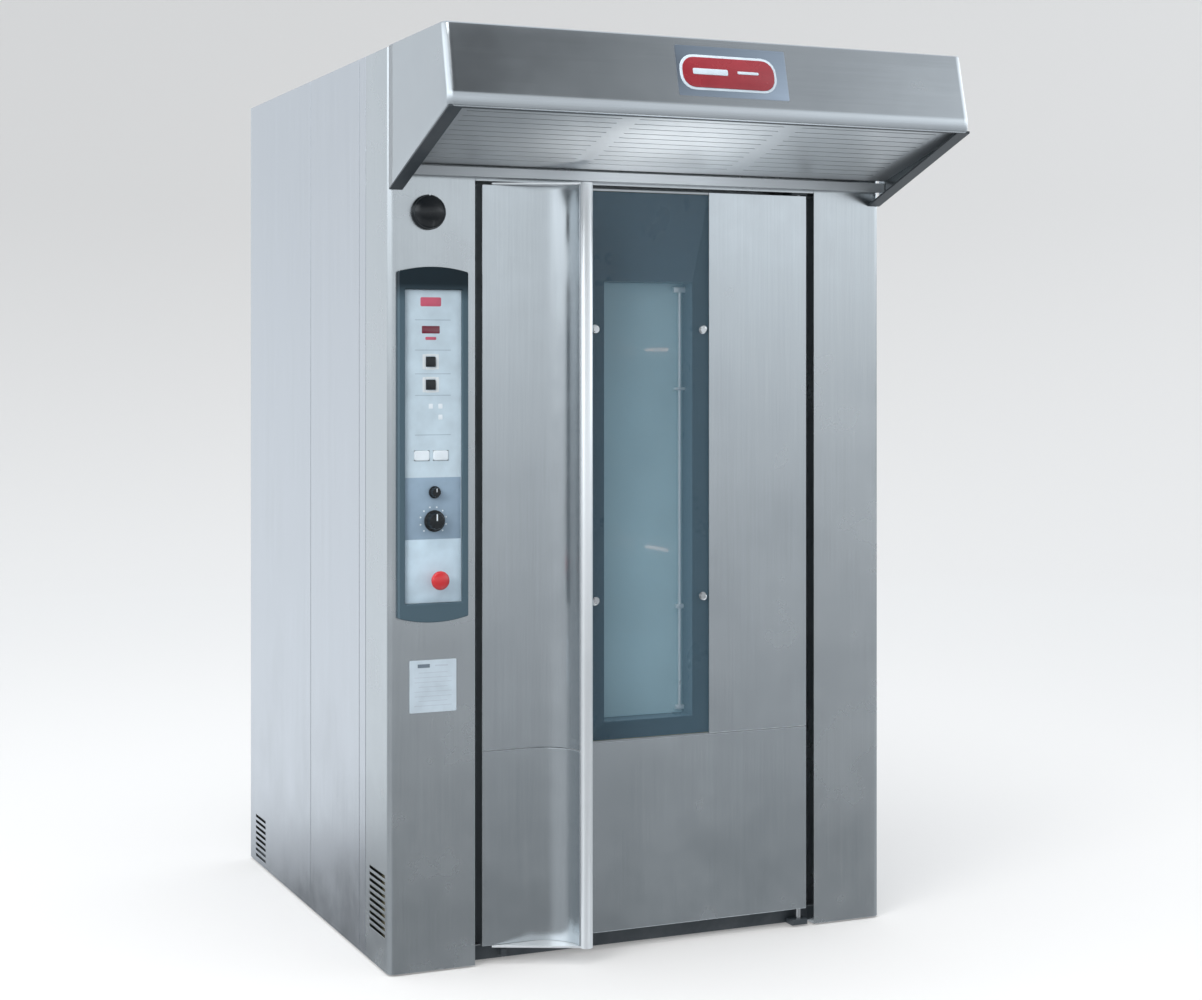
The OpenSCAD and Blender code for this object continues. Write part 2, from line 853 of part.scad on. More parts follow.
// A slanted panel with three columns of narrow slots that let steam into the hood
module hood_underside() {
    x = half_w - sheet - 1;
    slope = (underside_z[0] - underside_z[1]) / (underside_b[1] - underside_b[0]);
    color("lightgray")
        difference() {
            side_prism([-x, x])
                polygon([
                    [underside_b[0], underside_z[0]],
                    [underside_b[1], underside_z[1]],
                    [underside_b[1], underside_z[1] + underside_t],
                    [underside_b[0], underside_z[0] + underside_t]
                ]);
            for (row = [0 : grille_rows - 1], col = [-1 : 1])
                let (along = grille_first + row * grille_pitch, b = underside_b[0] + along,
                     z = underside_z[0] - slope * along, mid = col * grille_col)
                    slab([mid - grille_half, mid + grille_half], [b, b + grille_w],
                         [z - 2 * underside_t, z + 2 * underside_t]);
        }
}

module hood_gutter() {
    x = half_w - sheet - 1;
    color("dimgray")
        difference() {
            slab([-x, x], [-gutter_b, -1], [gutter_z0, gutter_z1]);
            slab([sheet - x, x - sheet], [sheet - gutter_b, -1 - sheet], [gutter_z0 + sheet, gutter_z1 + 1]);
        }
}

hood_fan_w = [hood_fan_x - 60, hood_fan_x + 60];
hood_duct_half = 50;
hood_spigot_d = spigot_d - 30;
duct_wall = 2;

module hood_fan_housing() {
    r = hood_fan_r + 16;
    duct_x = [hood_fan_x - hood_duct_half, hood_fan_x + hood_duct_half];
    duct_b1 = hood_spigot_b + 70;
    color("silver")
        difference() {
            union() {
                rod_x(hood_fan_w, hood_fan_b, hood_fan_z, 2 * r);
                slab(duct_x, [hood_fan_b, duct_b1], [hood_duct_z0, hood_duct_z1]);
                rod_z(hood_fan_x, hood_spigot_b, [hood_duct_z1 - 1, body_h - 4], hood_spigot_d);
            }
            rod_x([hood_fan_w[0] + duct_wall, hood_fan_w[1] - duct_wall], hood_fan_b, hood_fan_z,
                  2 * (r - duct_wall));
            slab([duct_x[0] + duct_wall, duct_x[1] - duct_wall], [hood_fan_b, duct_b1 - duct_wall],
                 [hood_duct_z0 + duct_wall, hood_duct_z1 - duct_wall]);
            rod_z(hood_fan_x, hood_spigot_b, [hood_duct_z1 - duct_wall - 1, body_h],
                  hood_spigot_d - 2 * duct_wall);
            rod_x([hood_fan_w[0] - 1, hood_fan_w[1] + 1], hood_fan_b, hood_fan_z, 1.3 * hood_fan_r);
        }
}

hood_blades = 20;

module hood_fan_wheel() {
    x = [hood_fan_w[0] + 8, hood_fan_w[1] - 8];
    color("gray") {
        rod_x([hood_fan_x - 2, hood_fan_x + 2], hood_fan_b, hood_fan_z, 2 * hood_fan_r);
        rod_x([hood_fan_x - 40, hood_fan_x + 40], hood_fan_b, hood_fan_z, 44);
        for (i = [0 : hood_blades - 1])
            translate([x[0] + 1, front_y + hood_fan_b, hood_fan_z])
                rotate([i * 360 / hood_blades, 0, 0]) translate([0, 0, 0.81 * hood_fan_r])
                    rotate([20, 0, 0]) cube([x[1] - x[0] - 2, 2, 0.15 * hood_fan_r]);
        for (side = [x[0], x[1] - 3])
            difference() {
                rod_x([side, side + 3], hood_fan_b, hood_fan_z, 2 * hood_fan_r);
                rod_x([side - 1, side + 4], hood_fan_b, hood_fan_z, 1.56 * hood_fan_r);
            }
    }
}

badge_x = 22;
badge_size = [280, 96];
badge_down = 96;
badge_t = 3;
fascia_lean = atan((hood_out - hood_top_out) / (fascia_h - hood_band));

module badge_plate() {
    color("firebrick")
        translate([badge_x, front_y - hood_top_out, body_h])
            rotate([90 - fascia_lean, 0, 0])
                translate([0, -badge_down, 0])
                    linear_extrude(badge_t) round_rect(badge_size[0], badge_size[1], 40);
}

// ---- Controls ----

plate_size = [131, 139];
plate_x = bezel_x + 4;
plate_z = 762;

module rating_plate() {
    color("white")
        slab([plate_x - plate_size[0] / 2, plate_x + plate_size[0] / 2], [-1, 0],
             [plate_z - plate_size[1] / 2, plate_z + plate_size[1] / 2]);
}

arc_r = 353;

// The bezel's front outline: straight sides, shallow arched ends
module bezel_outline() {
    intersection() {
        translate([bezel_x - bezel_w / 2, bezel_z0]) square([bezel_w, bezel_z1 - bezel_z0]);
        union() {
            translate([bezel_x, bezel_z1 - arc_r]) circle(arc_r, $fn = 128);
            translate([bezel_x - arc_r, 0]) square([2 * arc_r, bezel_z1 - arc_r]);
        }
        union() {
            translate([bezel_x, bezel_z0 + arc_r]) circle(arc_r, $fn = 128);
            translate([bezel_x - arc_r, bezel_z0 + arc_r]) square([2 * arc_r, bezel_z1]);
        }
    }
}

module overlay_area(grow, b, z0, z1) {
    slab([bezel_x - overlay_w / 2 - grow, bezel_x + overlay_w / 2 + grow], b, [z0 - grow, z1 + grow]);
}

module control_bezel() {
    color("darkslategray")
        difference() {
            front_prism([-bezel_out, 0]) bezel_outline();
            overlay_area(0.5, [-bezel_out - 1, -key_face], overlay_z0, overlay_z1);
            overlay_area(-12, [-bezel_out - 1, 1], overlay_z0, overlay_z1);
        }
}

// The printed front overlay, with cut-outs for the buttons, keys and selector stems
module control_membrane() {
    b = [-key_face - 3, -key_face];
    cut = [b[0] - 1, b[1] + 1];
    color("lightsteelblue")
        difference() {
            overlay_area(0, b, overlay_z0, overlay_z1);
            for (z = button_z)
                slab([button_x - button_side / 2 - 0.5, button_x + button_side / 2 + 0.5], cut,
                     [z - button_side / 2 - 0.5, z + button_side / 2 + 0.5]);
            for (x = key_x)
                slab([x - key_size[0] / 2 - 0.5, x + key_size[0] / 2 + 0.5], cut,
                     [key_z - key_size[1] / 2 - 0.5, key_z + key_size[1] / 2 + 0.5]);
            rod_b(small_x, cut, small_z, stem_d + run_gap);
            rod_b(large_x, cut, large_z, stem_d + run_gap);
            rod_b(stop_x, cut, stop_z, stop_stem_d + run_gap);
        }
}

stem_d = 8;
stop_stem_d = 22;
board_b = [8, 10];
supply_z = [1420, 1780];
relay_z = [1086, 1180];

// The circuit board behind the overlay with its supply and relay boxes
module control_box() {
    x = [bezel_x - 66, bezel_x + 66];
    hole = [board_b[0] - 1, board_b[1] + 1];
    color("darkolivegreen") {
        difference() {
            slab(x, board_b, [overlay_z0 + 25, overlay_z1 - 25]);
            rod_b(small_x, hole, small_z, stem_d + 4);
            rod_b(large_x, hole, large_z, stem_d + 4);
            rod_b(stop_x, hole, stop_z, stop_stem_d + 4);
        }
        slab([x[0], x[1] - 50], [board_b[1], 60], supply_z);
        slab([x[0] + 10, x[1] - 10], [board_b[1], 44], relay_z);
    }
}

// A square push button that reaches through the overlay
module push_button(z) {
    slab([button_x - button_side / 2, button_x + button_side / 2], [-key_face - 8, 0],
         [z - button_side / 2, z + button_side / 2]);
}

module button_upper() { color("black") push_button(button_z[0]); }
module button_lower() { color("black") push_button(button_z[1]); }

// A flat white key
module flat_key(x) {
    slab([x - key_size[0] / 2, x + key_size[0] / 2], [-key_face - 6, 0],
         [key_z - key_size[1] / 2, key_z + key_size[1] / 2]);
}

module key_left() { color("white") flat_key(key_x[0]); }
module key_right() { color("white") flat_key(key_x[1]); }

// A round selector: stem, skirt and grip bar
module selector(x, z, d, h) {
    b = -key_face - 3.5;
    rod_b(x, [b, 6], z, stem_d);
    rod_b(x, [b - 0.3 * h, b], z, d);
    rod_b(x, [b - 0.45 * h, b], z, 0.72 * d);
    slab([x - 0.11 * d, x + 0.11 * d], [b - h, b - 0.3 * h], [z - 0.44 * d, z + 0.44 * d]);
}

module selector_small() { color("black") selector(small_x, small_z, small_d, 24); }
module selector_large() { color("black") selector(large_x, large_z, large_d, 32); }

module estop_button() {
    color("red") {
        rod_b(stop_x, [-key_face - 26, 6], stop_z, stop_stem_d);
        rod_b(stop_x, [-key_face - 40, -key_face - 22], stop_z, 0.86 * stop_d);
        rod_b(stop_x, [-key_face - 36, -key_face - 26], stop_z, stop_d);
    }
}

module main_switch() {
    color("black") {
        rod_b(main_x, [-0.5, 14], main_z, 20);
        rod_b(main_x, [-14, -0.5], main_z, main_d);
        translate([main_x, front_y - 14, main_z]) rotate([90, 0, 0])
            intersection() {
                translate([0, 0, -26]) sphere(d = main_d + 8, $fn = 96);
                cylinder(h = 40, d = main_d - 6);
            }
    }
}

// ---- Door ----

module door_box() {
    x = [door_x0, door_x1];
    z = [door_z0, door_z1];
    color("silver")
        difference() {
            slab(x, [skin, door_t], z);
            slab([x[0] + sheet, x[1] - sheet], [plate_b, door_t - sheet], [z[0] + sheet, z[1] - sheet]);
            slab([pane_x0, pane_x1], [skin - 1, plate_b + 1], [pane_z0, pane_z1]);
            slab([clear_x0 - sheet, clear_x1 + sheet], [door_t - sheet - 1, door_t + 1],
                 [clear_z0 - sheet, clear_z1 + sheet]);
            for (end = [z[0] - 1, z[1] - sheet - 1])
                rod_z(hinge_x, hinge_b, [end, end + sheet + 2], pivot_d);
        }
}

module door_insulation() {
    gap = 1;
    b = [border_b + 4, door_t - sheet - gap];
    color("khaki")
        difference() {
            slab([door_x0 + sheet + gap, hinge_x - pivot_d - 6], b,
                 [door_z0 + sheet + gap, door_z1 - sheet - gap]);
            slab([clear_x0 - sheet - gap, clear_x1 + sheet + gap], [b[0] - 1, b[1] + 1],
                 [clear_z0 - sheet - gap, clear_z1 + sheet + gap]);
        }
}

// The left skin: flat, then rolled forward in a quarter circle that ends at the pull
module left_skin_plan() {
    translate([door_x0, 0]) square([flat_w, skin]);
    translate([flare_x, -flare_r])
        intersection() {
            difference() {
                circle(flare_r + skin, $fn = 128);
                circle(flare_r, $fn = 128);
            }
            square(2 * flare_r);
        }
}

module door_skin_left() {
    color("lightgray") {
        plan_prism([door_seam_z + seam / 2, door_z1]) left_skin_plan();
        plan_prism([door_z0, door_seam_z - seam / 2]) left_skin_plan();
    }
}

module door_skin_front() {
    color("lightgray") {
        slab([pane_x1 - 4, door_x1], [0, skin], [door_seam_z + seam / 2, door_z1]);
        slab([pane_x0 - 20, door_x1], [0, skin], [door_z0, door_seam_z - seam / 2]);
        slab([pane_x0 - 20, pane_x0 + 4], [0, skin], [door_seam_z + seam / 2, door_z1]);
    }
}

module door_glass() {
    color("slategray", 0.5) {
        slab([pane_x0 + 1, pane_x1 - 1], [skin, skin + pane_t], [pane_z0 + 1, pane_z1 - 1]);
        slab([clear_x0 + 1, clear_x1 - 1], [door_t - 22, door_t - 22 + pane_t], [clear_z0 + 1, clear_z1 - 1]);
    }
}

// Border behind the outer pane, sleeve through the door and ledge for the inner pane
module window_frame() {
    color("darkslategray") {
        difference() {
            slab([pane_x0 + 1, pane_x1 - 1], [skin + pane_t, border_b + 2], [pane_z0 + 1, pane_z1 - 1]);
            slab([clear_x0, clear_x1], [skin, border_b + 3], [clear_z0, clear_z1]);
        }
        difference() {
            slab([clear_x0 - sheet, clear_x1 + sheet], [border_b + 2, door_t + 2],
                 [clear_z0 - sheet, clear_z1 + sheet]);
            slab([clear_x0, clear_x1], [border_b, door_t + 3], [clear_z0, clear_z1]);
        }
        difference() {
            slab([clear_x0, clear_x1], [door_t - 15, door_t - 12], [clear_z0, clear_z1]);
            slab([clear_x0 + 12, clear_x1 - 12], [door_t - 16, door_t - 11], [clear_z0 + 12, clear_z1 - 12]);
        }
    }
}

bolt_x = pane_w / 2 - 24;
bolt_z = [966, 1714];

module glass_bolts() {
    color("white")
        for (sx = [-1, 1], z = bolt_z) {
            rod_b(door_shift + sx * bolt_x, [skin - 8, skin], z, 16);
            rod_b(door_shift + sx * bolt_x, [skin - 3, skin], z, 22);
        }
}

module door_gasket() {
    x = [door_x0 + 30, hinge_x - 13];
    z = [door_z0, door_z1 - 28];
    w = 20;
    b = [door_t, door_t + gasket_t];
    color("black") {
        difference() {
            slab(x, b, z);
            slab([x[0] + w, x[1] - w], [b[0] - 1, b[1] + 1], [z[0] - 1, z[1] - w]);
        }
        slab([door_x0 + 8, hinge_x - 30], [door_t - 24, door_t - 18], [base_top + 2.5, door_z0]);
    }
}

module door_pull() {
    rim_x = rim_x0 + rim_w / 2;
    gusset = [
        [door_x0 + 26, 0], [rim_x0 - skin, -flare_r - 3], [rim_x0 + rim_w, -flare_r - 3],
        [rim_x0 + rim_w, 0]
    ];
    color("whitesmoke") {
        plan_prism([door_z0, door_z1]) translate([rim_x, rim_b]) round_rect(rim_w, rim_d, 10);
        for (z = [door_z0 - gusset_t, door_z1])
            plan_prism([z, z + gusset_t]) {
                polygon(gusset);
                translate([rim_x, rim_b]) round_rect(rim_w, rim_d, 10);
            }
    }
}

module door_pivots() {
    color("white") {
        rod_z(hinge_x, hinge_b, [pin_z0, door_z0 + 70], pivot_d);
        rod_z(hinge_x, hinge_b, [door_z1 - 70, lintel_z0 - 2], pivot_d);
    }
}

module hinge_brackets() {
    bore = pivot_d + run_gap;
    color("dimgray") {
        difference() {
            slab([hinge_x - 28, hinge_x + 22], [2, base_b[0]], [foot_h, pin_z0 + 8]);
            rod_z(hinge_x, hinge_b, [pin_z0 - 0.2, pin_z0 + 9], bore);
        }
        difference() {
            slab([hinge_x - 28, hinge_x + 22], [sheet, 60], [door_z1 + 2.5, lintel_z0]);
            rod_z(hinge_x, hinge_b, [door_z1, lintel_z0 + 1], bore);
        }
    }
}

feet();
base_frame();
cabinet_frame();
left_column();
right_column();
lintel();
left_panels();
right_panels();
rear_panel();
roof_deck();
insulation();
door_jamb();
chamber_floor();
liner_panels();
chamber_ceiling();
diffuser_panels();
heating_elements();
steam_generator();
chamber_lamps();
fan_plenum();
circulation_fan();
fan_motor();
gearmotor();
motor_pulley();
drive_belt();
shaft_pulley();
carousel_shaft();
shaft_bearing();
hook_beam();
exhaust_pipe();
exhaust_damper();
hood_shell();
hood_underside();
hood_gutter();
hood_fan_housing();
hood_fan_wheel();
badge_plate();
rating_plate();
control_bezel();
control_membrane();
control_box();
button_upper();
button_lower();
key_left();
key_right();
selector_small();
selector_large();
estop_button();
main_switch();
door_box();
door_insulation();
door_skin_left();
door_skin_front();
door_glass();
window_frame();
glass_bolts();
door_gasket();
door_pull();
door_pivots();
hinge_brackets();
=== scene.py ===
"""A rotary rack oven with a canopy hood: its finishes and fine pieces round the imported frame.

Lengths are in metres. The door and the hood face -Y, and the floor is at z = 0.
"""

import json
import math

import bmesh
import bpy
import numpy as np
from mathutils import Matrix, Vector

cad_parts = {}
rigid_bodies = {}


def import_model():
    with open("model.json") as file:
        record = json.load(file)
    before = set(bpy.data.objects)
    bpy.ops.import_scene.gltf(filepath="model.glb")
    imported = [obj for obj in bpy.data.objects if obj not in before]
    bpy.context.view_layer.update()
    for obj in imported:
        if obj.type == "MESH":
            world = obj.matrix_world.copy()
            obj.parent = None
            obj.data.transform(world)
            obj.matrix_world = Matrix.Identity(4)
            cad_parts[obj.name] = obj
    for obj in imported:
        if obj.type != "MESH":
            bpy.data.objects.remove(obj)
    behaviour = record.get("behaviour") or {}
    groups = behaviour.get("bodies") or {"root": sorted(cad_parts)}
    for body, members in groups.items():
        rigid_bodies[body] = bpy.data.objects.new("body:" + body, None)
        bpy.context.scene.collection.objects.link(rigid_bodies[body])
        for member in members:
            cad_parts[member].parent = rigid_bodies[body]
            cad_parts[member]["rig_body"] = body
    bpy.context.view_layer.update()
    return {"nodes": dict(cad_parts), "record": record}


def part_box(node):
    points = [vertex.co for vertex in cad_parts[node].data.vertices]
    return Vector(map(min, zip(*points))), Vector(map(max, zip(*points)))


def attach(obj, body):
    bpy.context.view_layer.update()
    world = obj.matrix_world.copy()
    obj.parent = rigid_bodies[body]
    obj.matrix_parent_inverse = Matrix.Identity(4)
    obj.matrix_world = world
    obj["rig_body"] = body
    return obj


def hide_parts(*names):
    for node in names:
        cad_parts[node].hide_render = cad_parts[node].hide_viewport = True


MM = 0.001
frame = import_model()


# ---- Places taken from the frame ----

def span(node):
    """The lowest and highest corner of a CAD node as arrays."""
    lo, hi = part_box(node)
    return np.array(lo), np.array(hi)


def middle(node):
    lo, hi = span(node)
    return (lo + hi) / 2


FRONT = span("left_column")[0][1]
HALF_W = span("left_column")[0][0] * -1
TOP = span("hood_shell")[1][2]
HOOD_FRONT = span("hood_shell")[0][1]
CHEEK_Z = span("hood_shell")[0][2]


# ---- Mesh helpers ----

def finish_mesh(obj, angle=35):
    """Smooth shading that stays sharp where faces meet at more than the angle in degrees."""
    mesh = obj.data
    mesh.polygons.foreach_set("use_smooth", np.ones(len(mesh.polygons), bool))
    mesh.set_sharp_from_angle(angle=math.radians(angle))
    mesh.update()


def add_piece(name, mesh, body, material, replaces=()):
    """A new object on a body, with one material; it may stand for CAD nodes."""
    obj = bpy.data.objects.new(name, mesh)
    bpy.context.scene.collection.objects.link(obj)
    mesh.materials.clear()
    mesh.materials.append(material)
    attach(obj, body)
    if replaces:
        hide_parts(*replaces)
    return obj


def grid_faces(rows, cols, wrap_cols):
    """Quads of a grid of rows x cols points, as one index array; each row may close on itself."""
    r = np.arange(rows - 1)[:, None]
    c = np.arange(cols if wrap_cols else cols - 1)[None, :]
    c2 = (c + 1) % cols
    quads = np.stack([r * cols + c, r * cols + c2, (r + 1) * cols + c2, (r + 1) * cols + c], -1)
    return quads.reshape(-1, 4)


def mesh_of(name, points, faces):
    """A mesh of points and faces, with its faces turned outwards."""
    mesh = bpy.data.meshes.new(name)
    mesh.from_pydata(np.asarray(points, float).reshape(-1, 3).tolist(), [], faces)
    bm = bmesh.new()
    bm.from_mesh(mesh)
    bmesh.ops.remove_doubles(bm, verts=bm.verts, dist=1e-6)
    bmesh.ops.recalc_face_normals(bm, faces=bm.faces)
    bm.to_mesh(mesh)
    bm.free()
    return mesh


def ring_solid(name, rings):
    """A closed solid from rings of points, shape (rings, points, 3): quads join each ring to the next,
    and a flat face closes the first and the last."""
    rings = np.asarray(rings, float)
    n, k = rings.shape[:2]
    quads = grid_faces(n, k, wrap_cols=True).tolist()
    caps = [list(range(k))[::-1], list(range((n - 1) * k, n * k))]
    return mesh_of(name, rings, quads + caps)


def turned_rings(profile, segments=48):
    """A profile of (radius, height) turned about the height axis: each radius times the cosine and
    sine of an even angle. Returns (rings, segments, 3) with the height last."""
    profile = np.asarray(profile, float)
    turn = np.linspace(0, 2 * np.pi, segments, endpoint=False)
    ring = np.stack([np.cos(turn), np.sin(turn)], -1)
    xy = profile[:, None, :1] * ring[None]
    height = np.broadcast_to(profile[:, None, 1:], xy.shape[:2] + (1,))
    return np.concatenate([xy, height], -1)


def facing_front(rings, centre):
    """Rings whose height points to the front: height becomes -Y, and the ring lies in X and Z."""
    x, z, h = rings[..., 0], rings[..., 1], rings[..., 2]
    return np.stack([x, -h, z], -1) + np.asarray(centre)


def rounded_outline(w, h, r, steps=6):
    """A rectangle with round corners: on each quarter turn the corner's centre plus the radius
    times the cosine and sine. Returns (points, 2)."""
    quarter = np.arange(4)[:, None]
    turn = (quarter + np.linspace(0, 1, steps)[None, :]) * np.pi / 2
    side = (quarter + 0.5) * np.pi / 2
    sx, sz = np.sign(np.cos(side)), np.sign(np.sin(side))
    x = sx * (w / 2 - r) + r * np.cos(turn)
    z = sz * (h / 2 - r) + r * np.sin(turn)
    return np.stack([x.ravel(), z.ravel()], -1)


def edged_plate(name, centre, size, corner, depth, edge, steps=4):
    """A plate that faces the front: the rounded outline goes forward to the depth less the edge,
    then shrinks along a quarter circle, so the front edge is round. centre is on the back plane."""
    turn = np.linspace(0, np.pi / 2, steps)
    inset = np.concatenate([[0], edge * (1 - np.cos(turn))])
    height = np.concatenate([[0], depth - edge + edge * np.sin(turn)])
    rings = []
    for i, h in zip(inset, height):
        o = rounded_outline(size[0] - 2 * i, size[1] - 2 * i, max(corner - i, 1e-4))
        rings.append(np.column_stack([o[:, 0], np.full(len(o), -h), o[:, 1]]))
    return ring_solid(name, np.array(rings) + np.asarray(centre))


def studs(name, places, radius, height, axis, segments=10):
    """Low domed screw heads at many places: one quarter-ellipse profile turned about the axis and
    repeated at each place as whole arrays."""
    turn = np.linspace(0, np.pi / 2, 4)
    profile = np.column_stack([radius * np.cos(turn), height * np.sin(turn)])
    profile[-1, 0] = radius * 0.12
    profile = np.vstack([[radius, 0], profile[0:1] + [0, height * 0.15], profile[1:]])
    rings = turned_rings(profile, segments)
    basis = {
        "-y": ([1, 0, 0], [0, 0, 1], [0, -1, 0]), "+y": ([1, 0, 0], [0, 0, 1], [0, 1, 0]),
        "+z": ([1, 0, 0], [0, 1, 0], [0, 0, 1]),
    }[axis]
    one = rings @ np.array(basis, float)
    n, k = one.shape[:2]
    places = np.asarray(places, float).reshape(-1, 3)
    points = one.reshape(1, -1, 3) + places[:, None, :]
    shift = np.arange(len(places))[:, None, None] * n * k
    quads = (grid_faces(n, k, wrap_cols=True)[None] + shift).reshape(-1, 4).tolist()
    caps = np.stack([np.arange(k), (n - 1) * k + np.arange(k)])
    caps = (caps[None] + shift).reshape(-1, k).tolist()
    return mesh_of(name, points, quads + caps)


# ---- Node helpers for the finishes ----

def finish(name):
    """A new material with its node tree and Principled shader."""
    material = bpy.data.materials.new(name)
    material.use_nodes = True
    tree = material.node_tree
    return material, tree, tree.nodes["Principled BSDF"]


def place_coords(tree, scale):
    """Object coordinates, stretched by the scale."""
    coords = tree.nodes.new("ShaderNodeTexCoord")
    mapping = tree.nodes.new("ShaderNodeMapping")
    mapping.inputs["Scale"].default_value = scale
    tree.links.new(coords.outputs["Object"], mapping.inputs["Vector"])
    return mapping.outputs["Vector"]


def noise(tree, vector, scale=1.0, detail=3.0, rough=0.5):
    node = tree.nodes.new("ShaderNodeTexNoise")
    node.inputs["Scale"].default_value = scale
    node.inputs["Detail"].default_value = detail
    node.inputs["Roughness"].default_value = rough
    tree.links.new(vector, node.inputs["Vector"])
    return node.outputs["Fac"]


def ramp(tree, value, stops):
    """A colour ramp; stops are (place, (r, g, b))."""
    node = tree.nodes.new("ShaderNodeValToRGB")
    ends = node.color_ramp.elements
    while len(ends) < len(stops):
        ends.new(0.5)
    for element, (place, colour) in zip(ends, stops):
        element.position = place
        element.color = (*colour, 1)
    tree.links.new(value, node.inputs["Fac"])
    return node.outputs["Color"]


def spread(tree, value, low, high, start=0.3, end=0.7):
    """The value's middle range carried to low..high."""
    node = tree.nodes.new("ShaderNodeMapRange")
    node.inputs["From Min"].default_value = start
    node.inputs["From Max"].default_value = end
    node.inputs["To Min"].default_value = low
    node.inputs["To Max"].default_value = high
    tree.links.new(value, node.inputs["Value"])
    return node.outputs["Result"]


def mixed(tree, factor, a, b, mode="MIX"):
    """Two colours mixed; the factor, a and b are sockets or plain values."""
    node = tree.nodes.new("ShaderNodeMix")
    node.data_type = "RGBA"
    node.blend_type = mode
    for socket, value in ((node.inputs[0], factor), (node.inputs[6], a), (node.inputs[7], b)):
        if isinstance(value, bpy.types.NodeSocket):
            tree.links.new(value, socket)
        else:
            socket.default_value = value
    return node.outputs[2]


def bump(tree, height, distance, below=None):
    """A normal raised by the height; it lies on the normal below where there is one."""
    node = tree.nodes.new("ShaderNodeBump")
    node.inputs["Strength"].default_value = 1.0
    node.inputs["Distance"].default_value = distance
    tree.links.new(height, node.inputs["Height"])
    if below is not None:
        tree.links.new(below, node.inputs["Normal"])
    return node.outputs["Normal"]


GRAIN = {"x": (4, 520, 520), "y": (520, 4, 520), "z": (520, 520, 4)}


def brushed_steel(name, tone, grain, rough=0.25, waves=0.0010, streak=0.025):
    """Stainless sheet: fine scratches along the grain in colour, gloss and relief, faint wiped
    clouds, and the slow waves of thin sheet."""
    material, tree, shader = finish(name)
    scratches = noise(tree, place_coords(tree, GRAIN[grain]), 1.0, 2.0, 0.5)
    bands = noise(tree, place_coords(tree, [s * 0.06 if s > 100 else s * 0.2 for s in GRAIN[grain]]))
    clouds = noise(tree, place_coords(tree, (1, 1, 1)), 5.0, 4.0, 0.6)
    slow = noise(tree, place_coords(tree, (1, 1, 1)), 2.6, 1.0, 0.4)
    dark = tuple(c * (1 - streak) for c in tone)
    light = tuple(min(1, c * (1 + streak)) for c in tone)
    base = ramp(tree, scratches, [(0.3, dark), (0.7, light)])
    veil = ramp(tree, bands, [(0.3, (0.975,) * 3), (0.7, (1, 1, 1))])
    cloud = ramp(tree, clouds, [(0.35, (0.965, 0.97, 0.975)), (0.7, (1, 1, 1))])
    base = mixed(tree, 1.0, mixed(tree, 1.0, base, veil, "MULTIPLY"), cloud, "MULTIPLY")
    tree.links.new(base, shader.inputs["Base Color"])
    shader.inputs["Metallic"].default_value = 1.0
    gloss = spread(tree, clouds, rough - 0.03, rough + 0.06)
    tree.links.new(gloss, shader.inputs["Roughness"])
    sheet = bump(tree, slow, waves)
    tree.links.new(bump(tree, scratches, 0.000015, sheet), shader.inputs["Normal"])
    return material


def galvanised(name, tone):
    """Zinc sheet: flat crystals of slightly different grey and gloss."""
    material, tree, shader = finish(name)
    cells = tree.nodes.new("ShaderNodeTexVoronoi")
    cells.inputs["Scale"].default_value = 60
    tree.links.new(place_coords(tree, (1, 1, 1)), cells.inputs["Vector"])
    grey = tree.nodes.new("ShaderNodeSeparateColor")
    tree.links.new(cells.outputs["Color"], grey.inputs["Color"])
    dark = tuple(c * 0.8 for c in tone)
    tree.links.new(ramp(tree, grey.outputs[0], [(0, dark), (1, tone)]), shader.inputs["Base Color"])
    tree.links.new(spread(tree, grey.outputs[1], 0.3, 0.5, 0, 1), shader.inputs["Roughness"])
    shader.inputs["Metallic"].default_value = 1.0
    return material


def painted(name, tone, rough=0.45, peel=0.00012, metallic=0.0, dust=0.12):
    """Sprayed paint: a slight orange peel, and dust that lightens it in patches."""
    material, tree, shader = finish(name)
    skin = noise(tree, place_coords(tree, (1, 1, 1)), 420.0, 2.0)
    patches = noise(tree, place_coords(tree, (1, 1, 1)), 9.0, 5.0, 0.65)
    pale = tuple(c + (0.5 - c) * dust for c in tone)
    base = ramp(tree, patches, [(0.35, tone), (0.8, pale)])
    tree.links.new(base, shader.inputs["Base Color"])
    tree.links.new(spread(tree, patches, rough - 0.06, rough + 0.1), shader.inputs["Roughness"])
    shader.inputs["Metallic"].default_value = metallic
    tree.links.new(bump(tree, skin, peel), shader.inputs["Normal"])
    return material


def rubber(name, tone):
    """Matt rubber with a fine grain and a little bloom."""
    material, tree, shader = finish(name)
    grain = noise(tree, place_coords(tree, (1, 1, 1)), 900.0, 2.0)
    bloom = noise(tree, place_coords(tree, (1, 1, 1)), 14.0, 4.0)
    pale = tuple(c + 0.035 for c in tone)
    tree.links.new(ramp(tree, bloom, [(0.4, tone), (0.8, pale)]), shader.inputs["Base Color"])
    tree.links.new(spread(tree, bloom, 0.6, 0.8), shader.inputs["Roughness"])
    tree.links.new(bump(tree, grain, 0.0001), shader.inputs["Normal"])
    return material


